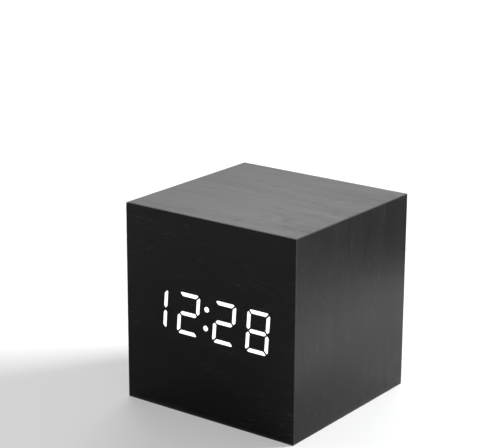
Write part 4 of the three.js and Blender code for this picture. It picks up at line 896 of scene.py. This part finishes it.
def add_cards():
    """Cards that only reflections see and that paint the clock's reflections: a dark face, a side dark
    above, and a pale strip along the side's front.
    """
    left, right, ahead, behind = -1.0, 0.3, -0.26, 0.14
    gap = 0.2 * MM
    foot, side, past = CAD_LOW.y - gap, CAD_HIGH.x + gap, CAD_HIGH.x + 26 * MM
    ground = lying((left, ahead), (right, ahead), (right, foot), (left, foot))
    strip = lying((side, foot), (past, foot), (past, 0.1), (side, 0.1))
    pale = lying((past, -0.06), (0.2, -0.06), (0.2, behind), (0.12, behind), (past, 0.04))
    # The dark cards are painted shade in the reflections: they darken the face and the top of the side.
    add_card("card_ahead", standing(left, right, ahead, height=0.5), tone=0.2)
    add_card("card_on_floor", ground, tone=0.2)
    add_card("card_beside", strip, tone=0.6)
    add_card("card_behind", standing(0.04, 0.6, behind, height=0.07), tone=0.01)
    # card_pale glows though it is no lamp. It is a painted reflection that makes a pale strip along the
    # front of the side.
    add_card("card_pale", pale, tone=0.1, glow=17.0)


class CLOCK_OT_stage(bpy.types.Operator):
    """Makes the finishes, the floor, the soft lights and the camera"""

    bl_idname = "clock.stage"
    bl_label = "Stage and finishes"

    def execute(self, context):
        studio = context.scene.clock_studio
        context.scene.view_settings.view_transform = "Standard"
        for make_finish, *values in FINISHES:
            make_finish(*values)
        add_world(studio)
        add_floor(studio)
        key = add_lamp("key_lamp", studio.key_power, **KEY_LAMP)
        key.visible_glossy = False
        add_lamp("back_lamp", studio.back_power, **BACK_LAMP)
        add_cards()
        add_camera(studio)
        return {"FINISHED"}


# Case


FILM_SHEETS = {
    "front": "film_lengthwise",
    "top": "film_lengthwise",
    "bottom": "film_lengthwise",
    "left": "film_upright",
    "right": "film_upright",
}
FOLD_ANGLE = 30.0


class CLOCK_OT_case_film(bpy.types.Operator):
    """Covers the case's five faces with wood-grain film, each sheet a piece of its own"""

    bl_idname = "clock.case_film"
    bl_label = "Case film"

    def execute(self, context):
        width = context.scene.clock_film.edge_round
        for side, material in FILM_SHEETS.items():
            node, name = side + "_veneer", side + "_film"
            shape = welded_copy(node)
            low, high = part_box(node)
            folds = [edge for edge in sharp_edges(shape, FOLD_ANGLE) if planes_held(edge, low, high) >= 2]
            soften(shape, width, folds, segments=3)
            put_piece(name, mesh_of(shape, name), "case", [node], material)
        return {"FINISHED"}


class CLOCK_OT_case_boards(bpy.types.Operator):
    """Gives the boards and corner blocks inside the film their fibreboard"""

    bl_idname = "clock.case_boards"
    bl_label = "Boards and corner blocks"

    def execute(self, context):
        dress_nodes("fibreboard", *(side + "_board" for side in FILM_SHEETS))
        dress_nodes("fibreboard", *(corner + "_corner_block" for corner in CORNERS))
        return {"FINISHED"}


# Display


COMPONENT_ROUND = 0.08 * MM


class CLOCK_OT_display(bpy.types.Operator):
    """Lights the segments of the digits and dresses the display behind them"""

    bl_idname = "clock.display"
    bl_label = "Display"

    def execute(self, context):
        mesh = mesh_of(welded_copy("display_lens"), "lit_segments")
        put_piece("lit_segments", mesh, "case", ["display_lens"], "lit_plastic")
        for node, material, slot in (
            ("clock_chip", "black_resin", "black_resin"),
            ("alarm_buzzer", "inner_plastic", "black_resin"),
            ("quartz_crystal", "nickel", "nickel"),
        ):
            put_softened(node, node + "_part", "case", material, COMPONENT_ROUND)
        dress_nodes("white_plastic", "display_reflector")
        dress_nodes("led_resin", "led_array")
        dress_nodes("green_laminate", "display_board")
        return {"FINISHED"}


# Rear mouldings


COVER_PIERCED = 2.5 * MM
OVERRUN = 1 * MM
MARK_SUNK = 0.05 * MM
MARK_CLEARANCE = 0.5 * MM
WORD_SHIFT = 2.2 * MM
CAPITAL_SHARE = 0.72
TRIANGLE_SHARE = 0.6
RING_SIDES, RING_BORE_SHARE = 40, 0.36
HAND_SHARES = (0.06, 0.3, 0.22)


def hole_profile(radius, low, high):
    """The profile of a round hole's cutter."""
    return [(radius, low), (radius, high)]


def bores(holes):
    """Cutters along Y through the middles of CAD nodes. Holes are (node, profile)."""
    shape = bmesh.new()
    for node, profile in holes:
        x, z = across(node)
        turned(shape, profile, (x, 0.0, z), ALONG_Y)
    return shape


def cover_holes(settings):
    """Cutters that make the cover's holes truly round."""
    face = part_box("rear_cover")[1].y
    bottom, over, seat = face - COVER_PIERCED, face + OVERRUN, face - settings.screw_well
    well = hole_profile(settings.screw_hole, bottom, seat) + hole_profile(settings.screw_seat, seat, over)
    holes = [(button + "_button", hole_profile(settings.button_hole, bottom, over)) for button in BUTTONS]
    holes += [(screw, well) for screw in COVER_SCREWS]
    holes.append(("power_jack", hole_profile(settings.inlet_hole, bottom, over)))
    holes.append(("microphone", hole_profile(settings.sound_hole, bottom, over)))
    return bores(holes)


def triangle_mark(shape, centre, size, up, low, high):
    """Adds a raised triangle that points up or down."""
    x, z = centre
    half, tip = TRIANGLE_SHARE * size, size / 2 if up else -size / 2
    prism(shape, [(x - half, z - tip), (x + half, z - tip), (x, z + tip)], low, high)


def ring_mark(shape, centre, size, low, high):
    """Adds a raised ring with two hands, the sign for setting the time."""
    x, z = centre
    outer, inner = size / 2, RING_BORE_SHARE * size
    rings = []
    for radius, y in ((inner, low), (inner, high), (outer, high), (outer, low)):
        points = [(x + radius * a, y, z + radius * b) for a, b in circle(RING_SIDES)]
        rings.append([shape.verts.new(point) for point in points])
    for one, other in zip(rings, rings[1:] + rings[:1]):
        skin(shape, one, other)
    half, upright, level = (share * size for share in HAND_SHARES)
    box_shape(shape, (x - half, low, z), (x + half, high, z + upright))
    box_shape(shape, (x - level, low, z - half), (x - half, high, z + half))


def word_mesh(word, centre, height, low, depth):
    """A raised word that is read from behind the clock."""
    text = bpy.data.curves.new(word, "FONT")
    text.body = word
    text.size = height / CAPITAL_SHARE
    text.align_x = "CENTER"
    text.align_y = "CENTER"
    text.extrude = depth / 2
    mesh = evaluated_mesh(linked(word, text))
    turn = Matrix(((-1, 0, 0), (0, 0, 1), (0, 1, 0))).to_4x4()
    mesh.transform(Matrix.Translation((centre[0], low + depth / 2, centre[1])) @ turn)
    return mesh


class CLOCK_OT_rear_cover(bpy.types.Operator):
    """Makes the black rear cover with its battery tray, round holes and moulded marks"""

    bl_idname = "clock.rear_cover"
    bl_label = "Rear cover"

    def execute(self, context):
        settings = context.scene.clock_moulding
        shape = cleaned(cut_away(welded_copy("rear_cover"), cover_holes(settings)))
        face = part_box("rear_cover")[1].y
        rims = [
            edge for edge in sharp_edges(shape) if all(abs(vert.co.y - face) < NEAR for vert in edge.verts)
        ]
        soften(shape, settings.edge_round, rims, clamp=False)
        mesh = flat_mesh(shape, "rear_cover_moulding")
        put_piece("rear_cover_moulding", mesh, "case", ["rear_cover"], "cover_plastic")
        self.marks(settings, face)
        return {"FINISHED"}

    @staticmethod
    def marks(settings, face):
        """Raised marks over the controls: set, up, down, and the two ends of the sound switch."""
        low, high = face - MARK_SUNK, face + settings.mark_height
        size = settings.mark_size
        rise = settings.button_hole + MARK_CLEARANCE + size / 2
        places = [(x, z + rise) for x, z in (across(button + "_button") for button in BUTTONS)]
        shape = bmesh.new()
        ring_mark(shape, places[0], 1.1 * size, low, high)
        triangle_mark(shape, places[1], size, True, low, high)
        triangle_mark(shape, places[2], size, False, low, high)
        marks = [mesh_of(shape, "signs")]
        x, z = across("sound_switch_body")
        for word, side in (("ON", 1), ("OFF", -1)):
            marks.append(word_mesh(word, (x + side * WORD_SHIFT, z + rise), size, low, high - low))
        shape = shape_of(*marks)
        bmesh.ops.remove_doubles(shape, verts=shape.verts, dist=WELD)
        mesh = mesh_of(shape, "cover_marks")
        put_piece("cover_marks", mesh, "case", material="mark_plastic")


RIB_HALF = 0.32 * MM
RIB_SUNK = 0.05 * MM
RIB_END_SHARE = 0.25
RIB_END_STEPS = 6
RIB_ARC_STEPS = 8
DOOR_RIB_LENGTH, DOOR_RIB_DROP, DOOR_RIB_PITCH = 11 * MM, 6.2 * MM, 1.1 * MM
LATCH_RIB_LENGTH, LATCH_RIB_DROP, LATCH_RIB_PITCH = 5.4 * MM, 1.25 * MM, 0.65 * MM


def rib_mesh(length, height):
    """One low rib along X with rounded ends, that stands on y = 0 and is sunk a little below it."""
    outlines = []
    for end in (-1, 1):
        for i in range(RIB_END_STEPS + 1):
            turn = math.pi / 2 * (i / RIB_END_STEPS if end > 0 else 1 - i / RIB_END_STEPS)
            x = end * (length / 2 - RIB_HALF + RIB_HALF * math.sin(turn))
            share = max(math.cos(turn), RIB_END_SHARE)
            half, rise = RIB_HALF * share, height * share
            angles = [math.pi * k / RIB_ARC_STEPS for k in range(RIB_ARC_STEPS + 1)]
            arc = [(x, rise * math.sin(angle), half * math.cos(angle)) for angle in angles]
            outlines.append(arc + [(x, -RIB_SUNK, -half), (x, -RIB_SUNK, half)])
    shape = bmesh.new()
    loft(shape, outlines)
    return mesh_of(shape, "rib")


def rib_row(recipe, name, length, height, count, start, pitch):
    """A row of ribs upwards from start."""
    rib = linked("rib", rib_mesh(length, height))
    mesh = recipe.make(name, Rib=rib, Count=count, Start=start, Step=(0.0, 0.0, pitch))
    bpy.data.objects.remove(rib)
    return mesh


class CLOCK_OT_battery_door(bpy.types.Operator):
    """Makes the battery door with its grip ribs, and its latch"""

    bl_idname = "clock.battery_door"
    bl_label = "Battery door and latch"

    def execute(self, context):
        settings = context.scene.clock_moulding
        width = settings.edge_round
        for node in ("battery_door", "door_latch"):
            put_softened(node, node + "_moulding", node, "cover_plastic", width)
        self.ribs(settings)
        return {"FINISHED"}

    @staticmethod
    def ribs(settings):
        """A row of low ribs for the thumb below the latch, and two on the latch."""
        low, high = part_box("door_latch")
        below, top = low.z - DOOR_RIB_DROP, high.z - LATCH_RIB_DROP
        recipe = rib_recipe("cover_plastic")
        for name, body, length, count, start, pitch in (
            ("door_grip_ribs", "battery_door", DOOR_RIB_LENGTH, 5, below, DOOR_RIB_PITCH),
            ("latch_grip_ribs", "door_latch", LATCH_RIB_LENGTH, 2, top, LATCH_RIB_PITCH),
        ):
            place = (0.0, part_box(body)[1].y, start)
            mesh = rib_row(recipe, name, length, settings.rib_height, count, place, pitch)
            mesh.shade_smooth()
            mesh.set_sharp_from_angle(angle=math.radians(CREASE))
            put_piece(name, mesh, body)


# Controls


PLASTIC = "button_plastic"
ROD_RADIUS, ROD_ROUND, ROD_SIDES = 1.7 * MM, 0.2 * MM, 40
SWITCH_ROUND = 0.12 * MM
CAP_SHARE, CAP_RIM_SHARE, CAP_DISH_SHARE = 0.71, 0.72, 0.45
CAP_FLANGE = 0.8 * MM
CAP_DISH, CAP_DISH_EDGE = 0.25 * MM, 0.24 * MM
CAP_ROUND = 0.22 * MM
KNOB_ROUND = 0.15 * MM
KNOB_RIB_HEIGHT, KNOB_RIB_PITCH, KNOB_RIB_MARGIN = 0.1 * MM, 0.45 * MM, 0.3 * MM
KNOB_RIB_SHARE = 0.5
SLIDE_CASE_ROUND = 0.1 * MM


class CLOCK_OT_controls(bpy.types.Operator):
    """Makes the push buttons, the sound switch and the board under them"""

    bl_idname = "clock.controls"
    bl_label = "Controls"

    def execute(self, context):
        for button in BUTTONS:
            body, plunger, switch = (button + "_" + end for end in ("button", "plunger", "push_switch"))
            rod = rod_profile(plunger, ROD_RADIUS, ROD_ROUND)
            self.cap(body)
            put_turned(plunger, plunger + "_rod", body, PLASTIC, rod, ROD_SIDES)
            put_softened(switch, switch + "_part", "case", "black_resin", SWITCH_ROUND)
        self.sound_switch()
        dress_nodes("green_laminate", "control_board")
        return {"FINISHED"}

    @staticmethod
    def cap(node):
        """A round cap with a dished face, a soft rim and a flange behind the cover."""
        low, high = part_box(node)
        flange = (high.x - low.x) / 2
        radius = flange * CAP_SHARE
        deep = high.y - low.y
        profile = [
            (0.0, 0.0), (flange, 0.0), (flange, CAP_FLANGE), (radius, CAP_FLANGE), (radius, deep),
            (CAP_RIM_SHARE * radius, deep), (CAP_DISH_SHARE * radius, deep - CAP_DISH_EDGE),
            (0.0, deep - CAP_DISH),
        ]
        put_turned(node, node + "_cap", node, PLASTIC, rounded_profile(profile, CAP_ROUND))

    @staticmethod
    def sound_switch():
        """The slide switch: a knob with three ribs across its travel, and its metal case."""
        node = "sound_switch_knob"
        low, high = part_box(node)
        middle = middle_of(node)
        length, pitch = high.z - low.z - KNOB_RIB_MARGIN, KNOB_RIB_PITCH
        recipe = rib_recipe(PLASTIC)
        ribs = rib_row(recipe, "knob_ribs", length, KNOB_RIB_HEIGHT, 3, (0.0, 0.0, -pitch), pitch)
        place = Matrix.Translation((middle.x, high.y, middle.z))
        narrowed = Matrix.Scale(KNOB_RIB_SHARE, 4, (0, 0, 1))
        ribs.transform(place @ Matrix.Rotation(math.pi / 2, 4, "Y") @ narrowed)
        knob = softened_node(node, "knob", KNOB_ROUND)
        mesh = mesh_of(shape_of(knob, ribs), "sound_knob", CREASE)
        put_piece("sound_knob", mesh, node, [node], PLASTIC)
        name = "sound_switch_case"
        put_softened("sound_switch_body", name, "case", "nickel", SLIDE_CASE_ROUND)


# Battery bay


NUB_RADIUS, NUB_HEIGHT = 1.9 * MM, 0.8 * MM
SLEEVE_THICKNESS = 0.12 * MM
CAN_ROUND, SLEEVE_ROUND = 0.2 * MM, 0.25 * MM
BASE_GROOVE = 0.18 * MM
PLATE_ROUND = 0.08 * MM
TAIL_REACH, TAIL_OVERLAP = 1 * MM, 0.2 * MM
COIL_INSET, COIL_TAPER, COIL_STEPS = 1 * MM, 0.6, 28


def cell_mesh(name, node, heading, settings):
    """One cell along X: a steel can in a plain sleeve, a nub at its positive end."""
    low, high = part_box(node)
    middle = middle_of(node)
    radius = (high.z - low.z) / 2
    length = high.x - low.x
    shoulder = length - NUB_HEIGHT
    band_start = shoulder - settings.cell_band
    can = radius - SLEEVE_THICKNESS
    nub = NUB_RADIUS
    can_profile = [
        (0.0, 0.0), (0.62 * radius, 0.0), (0.66 * radius, BASE_GROOVE), (0.74 * radius, BASE_GROOVE),
        (0.78 * radius, 0.0), (can - 0.3 * MM, 0.0), (can, 0.4 * MM), (can, shoulder - 0.3 * MM),
        (can - 0.5 * MM, shoulder - 0.1 * MM), (nub + 0.6 * MM, shoulder - 0.1 * MM),
        (nub + 0.3 * MM, shoulder), (nub, shoulder), (nub, length), (0.0, length),
    ]
    sleeve_profile = [
        (can - 0.7 * MM, 0.0), (radius - 0.25 * MM, 0.0), (radius, 0.35 * MM),
        (radius, band_start), (radius, shoulder - 0.3 * MM),
        (radius - 0.3 * MM, shoulder), (can - 0.8 * MM, shoulder - 0.02 * MM),
    ]
    start = Vector((low.x if heading > 0 else high.x, middle.y, middle.z))
    axis = (heading, 0, 0)
    shape = bmesh.new()
    for face in turned(shape, rounded_profile(can_profile, CAN_ROUND), start, axis):
        face.material_index = 1
    for face in turned(shape, rounded_profile(sleeve_profile, SLEEVE_ROUND), start, axis):
        along = abs(face.calc_center_median().x - start.x)
        face.material_index = 2 if along > band_start else 0
    mesh = mesh_of(shape, name)
    for material in ("cell_sleeve", "nickel", "cell_band"):
        mesh.materials.append(finish_named(material))
    return mesh


class CLOCK_OT_battery_bay(bpy.types.Operator):
    """Makes the cells, their contact plates and conical springs"""

    bl_idname = "clock.battery_bay"
    bl_label = "Cells and contacts"

    def execute(self, context):
        settings = context.scene.clock_battery
        for number in (1, 2, 3):
            node = f"battery_cell_{number}"
            mesh = cell_mesh(node + "_body", node, -1 if number == 2 else 1, settings)
            put_piece(node + "_body", mesh, "case", [node])
        recipe = coil_recipe("nickel")
        for row in (
            ("negative_contact", -1, 1, 1, 1),
            ("right_bridge_contact", 1, 2, 1, 2),
            ("left_bridge_contact", -1, 3, 2, 3),
            ("positive_contact", 1, None, 3, 3),
        ):
            self.contact(recipe, settings, *row)
        return {"FINISHED"}

    @staticmethod
    def contact(recipe, settings, node, side, sprung, first, last):
        """A plate behind the first to the last cell, with a spring for the sprung one's flat end."""
        low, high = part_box(node)
        outside = high.x if side > 0 else low.x
        inside = outside - side * settings.plate_thickness
        left, right = sorted((inside, outside))
        middle, top = middle_of(f"battery_cell_{first}"), middle_of(f"battery_cell_{last}")
        half, tail = settings.plate_width / 2, settings.tail_width / 2
        edge = middle.y - half
        shape = bmesh.new()
        box_shape(shape, (left, edge, middle.z - half), (right, middle.y + half, top.z + half))
        if low.y < edge - TAIL_REACH:
            box_shape(
                shape, (left, low.y, middle.z - tail), (right, edge + TAIL_OVERLAP, middle.z + tail)
            )
        soften(shape, PLATE_ROUND, sharp_edges(shape), 1)
        meshes = [mesh_of(shape, node)]
        if sprung:
            cell = f"battery_cell_{sprung}"
            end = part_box(cell)[1 if side > 0 else 0].x
            coil = recipe.make(
                node + "_coil",
                Steps_per_turn=COIL_STEPS,
                Turns=settings.spring_turns,
                Base_radius=half - COIL_INSET,
                Tip_radius=COIL_TAPER * (half - COIL_INSET),
                Height=abs(inside - end) - 2 * settings.spring_wire,
                Wire_radius=settings.spring_wire,
            )
            place = middle_of(cell)
            place.x = inside - side * settings.spring_wire
            turn = Matrix.Rotation(-side * math.pi / 2, 4, "Y")
            coil.transform(Matrix.Translation(place) @ turn)
            meshes.append(coil)
        mesh = mesh_of(shape_of(*meshes), node + "_strip", CREASE)
        put_piece(node + "_strip", mesh, "case", [node], "nickel")


# Screws


THREAD_TURNS, THREAD_ROOT_SHARE, THREAD_SIDES = 9, 0.82, 48
PLAIN_NECK, POINT_LENGTH, POINT_SHARE = 1.0 * MM, 1 * MM, 0.7
UNTHREADED, NECK_START = 2.2 * MM, 0.6 * MM
HEAD_ROUND = 0.3 * MM
RECESS_DEPTH, RECESS_OVER, RECESS_WIDTH_SHARE = 0.8 * MM, 0.3 * MM, 0.3
RECESS_FLOOR_LENGTH, RECESS_FLOOR_WIDTH = 0.64, 0.7

# Each group: its nodes, its screws' sizes in millimetres (radius of the shank, radius and height of the
# head, length, length of the recess), their heads' direction along Y, and the seed of their turns.
SCREW_GROUPS = {
    "cover_screws": (COVER_SCREWS, (1.3, 2.3, 1.2, 9.0, 2.8), 1, 4),
    "display_screws": (["display_screw_1", "display_screw_2"], (1.0, 2.0, 1.1, 7.0, 2.4), 1, 2),
    "control_screws": (["control_screw_1", "control_screw_2"], (0.9, 1.8, 1.0, 5.0, 2.2), -1, 7),
}


def cross_cutter(length, width, low, high):
    """The cutter of a tapered cross recess, open towards +Y."""
    outlines = []
    for y, long_share, wide_share in ((low, RECESS_FLOOR_LENGTH, RECESS_FLOOR_WIDTH), (high, 1.0, 1.0)):
        a, b = length / 2 * long_share, width / 2 * wide_share
        half = [(b, a), (-b, a), (-b, b), (-a, b), (-a, -b), (-b, -b)]
        outlines.append([(x, y, z) for x, z in half + [(-x, -z) for x, z in half]])
    shape = bmesh.new()
    loft(shape, outlines)
    return shape


def screw_mesh(shank, head, height, length, recess):
    """A pan-head screw with a cross recess, its seat at y = 0 and its head towards +Y."""
    pitch = (length - UNTHREADED) / THREAD_TURNS
    profile = [(0.0, -length), (shank * POINT_SHARE, -length + POINT_LENGTH)]
    for i in reversed(range(THREAD_TURNS)):
        foot = -PLAIN_NECK - i * pitch
        profile += [(shank, foot - pitch / 2), (shank * THREAD_ROOT_SHARE, foot)]
    profile.append((shank, -NECK_START))
    pan = [
        (shank, 0.0), (head, 0.0), (head, 0.45 * height),
        (0.86 * head, 0.86 * height), (0.5 * head, height), (0.0, height),
    ]
    shape = bmesh.new()
    turned(shape, profile + rounded_profile(pan, HEAD_ROUND), ORIGIN, ALONG_Y, THREAD_SIDES)
    cutter = cross_cutter(recess, RECESS_WIDTH_SHARE * recess, height - RECESS_DEPTH, height + RECESS_OVER)
    return flat_mesh(cut_away(shape, cutter), "screw")


class CLOCK_OT_screws(bpy.types.Operator):
    """Sets the screws: four in the cover, two in the display, two in the control board"""

    bl_idname = "clock.screws"
    bl_label = "Screws"

    def execute(self, context):
        recipe = fastener_recipe("dark_steel")
        for name, (nodes, sizes, heading, seed) in SCREW_GROUPS.items():
            shank, head, height, length, recess = (size * MM for size in sizes)
            screw = screw_mesh(shank, head, height, length, recess)
            if heading < 0:
                screw.transform(Matrix.Rotation(math.pi, 4, "X"))
            helper = linked("screw", screw)
            places = []
            for node in nodes:
                x, z = across(node)
                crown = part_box(node)[1 if heading > 0 else 0].y
                places.append((x, crown - heading * height, z))
            mesh = recipe.make(name, places, Fastener=helper, Seed=seed)
            bpy.data.objects.remove(helper)
            put_piece(name, mesh, "case", nodes)
        return {"FINISHED"}


# Inlet, microphone and leads


BORE_RADIUS, BORE_DEPTH, SOCKET_ROUND = 1.88 * MM, 8.2 * MM, 0.15 * MM
PIN_RADIUS, PIN_ROUND, PIN_SIDES = 0.65 * MM, 0.3 * MM, 32
CAN_EDGE_ROUND = 0.12 * MM
RIBBON_ROUND = 0.1 * MM
LEADS = {
    "battery_lead_red": "red_sheath",
    "battery_lead_black": "black_sheath",
    "power_lead": "black_sheath",
    "microphone_lead": "grey_sheath",
}
LEAD_CREASE, LEAD_LEVELS = 60.0, 2


class CLOCK_OT_fittings(bpy.types.Operator):
    """Makes the power inlet with its pin, and the microphone"""

    bl_idname = "clock.fittings"
    bl_label = "Inlet and microphone"

    def execute(self, context):
        self.socket()
        node = "power_jack_pin"
        pin = rod_profile(node, PIN_RADIUS, PIN_ROUND)
        put_turned(node, "power_pin", "case", "brass", pin, PIN_SIDES)
        name = "microphone_can"
        put_softened("microphone", name, "case", "microphone_metal", CAN_EDGE_ROUND)
        return {"FINISHED"}

    @staticmethod
    def socket():
        """A round socket whose bore is truly round."""
        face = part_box("power_jack")[1].y
        bore = bores([("power_jack", hole_profile(BORE_RADIUS, face - BORE_DEPTH, face + OVERRUN))])
        shape = cleaned(cut_away(welded_copy("power_jack"), bore))
        soften(shape, SOCKET_ROUND, sharp_edges(shape))
        mesh = flat_mesh(shape, "power_socket")
        put_piece("power_socket", mesh, "case", ["power_jack"], "inner_plastic")


class CLOCK_OT_leads(bpy.types.Operator):
    """Dresses the leads and the ribbon inside the case"""

    bl_idname = "clock.leads"
    bl_label = "Leads"

    def execute(self, context):
        for node, material in LEADS.items():
            faceted = mesh_of(welded_copy(node), node + "_wire", LEAD_CREASE)
            mesh = worked_mesh(faceted, "SUBSURF", levels=LEAD_LEVELS, render_levels=LEAD_LEVELS)
            put_piece(node + "_wire", mesh, "case", [node], material)
        name = "ribbon_cable"
        put_softened("board_ribbon", name, "case", "ribbon_sheath", RIBBON_ROUND)
        return {"FINISHED"}


# Add-on


SETTINGS = {
    "clock_film": ClockFilmSettings,
    "clock_display": ClockDisplaySettings,
    "clock_moulding": ClockMouldingSettings,
    "clock_battery": ClockBatterySettings,
    "clock_studio": ClockStudioSettings,
}

OPERATORS = (
    CLOCK_OT_stage,
    CLOCK_OT_case_film,
    CLOCK_OT_case_boards,
    CLOCK_OT_display,
    CLOCK_OT_rear_cover,
    CLOCK_OT_battery_door,
    CLOCK_OT_controls,
    CLOCK_OT_battery_bay,
    CLOCK_OT_screws,
    CLOCK_OT_fittings,
    CLOCK_OT_leads,
)


class CLOCK_PT_panel(bpy.types.Panel):
    """Lists the clock's settings and pieces in the sidebar"""

    bl_idname = "CLOCK_PT_panel"
    bl_label = "Desk clock"
    bl_space_type = "VIEW_3D"
    bl_region_type = "UI"
    bl_category = "Desk clock"

    def draw(self, context):
        layout = self.layout
        for name, settings in SETTINGS.items():
            group = getattr(context.scene, name)
            column = layout.column(align=True)
            for key in settings.__annotations__:
                column.prop(group, key)
        for operator in OPERATORS:
            layout.operator(operator.bl_idname)


CLASSES = (*SETTINGS.values(), *OPERATORS, CLOCK_PT_panel)


def register():
    for made in CLASSES:
        bpy.utils.register_class(made)
    for name, group in SETTINGS.items():
        setattr(bpy.types.Scene, name, PointerProperty(type=group))


def unregister():
    for name in SETTINGS:
        delattr(bpy.types.Scene, name)
    for made in CLASSES:
        bpy.utils.unregister_class(made)


def main():
    register()
    bpy.ops.clock.stage()
    bpy.ops.clock.case_film()
    bpy.ops.clock.case_boards()
    bpy.ops.clock.display()
    bpy.ops.clock.rear_cover()
    bpy.ops.clock.battery_door()
    bpy.ops.clock.controls()
    bpy.ops.clock.battery_bay()
    bpy.ops.clock.screws()
    bpy.ops.clock.fittings()
    bpy.ops.clock.leads()


if __name__ == "__main__":
    main()
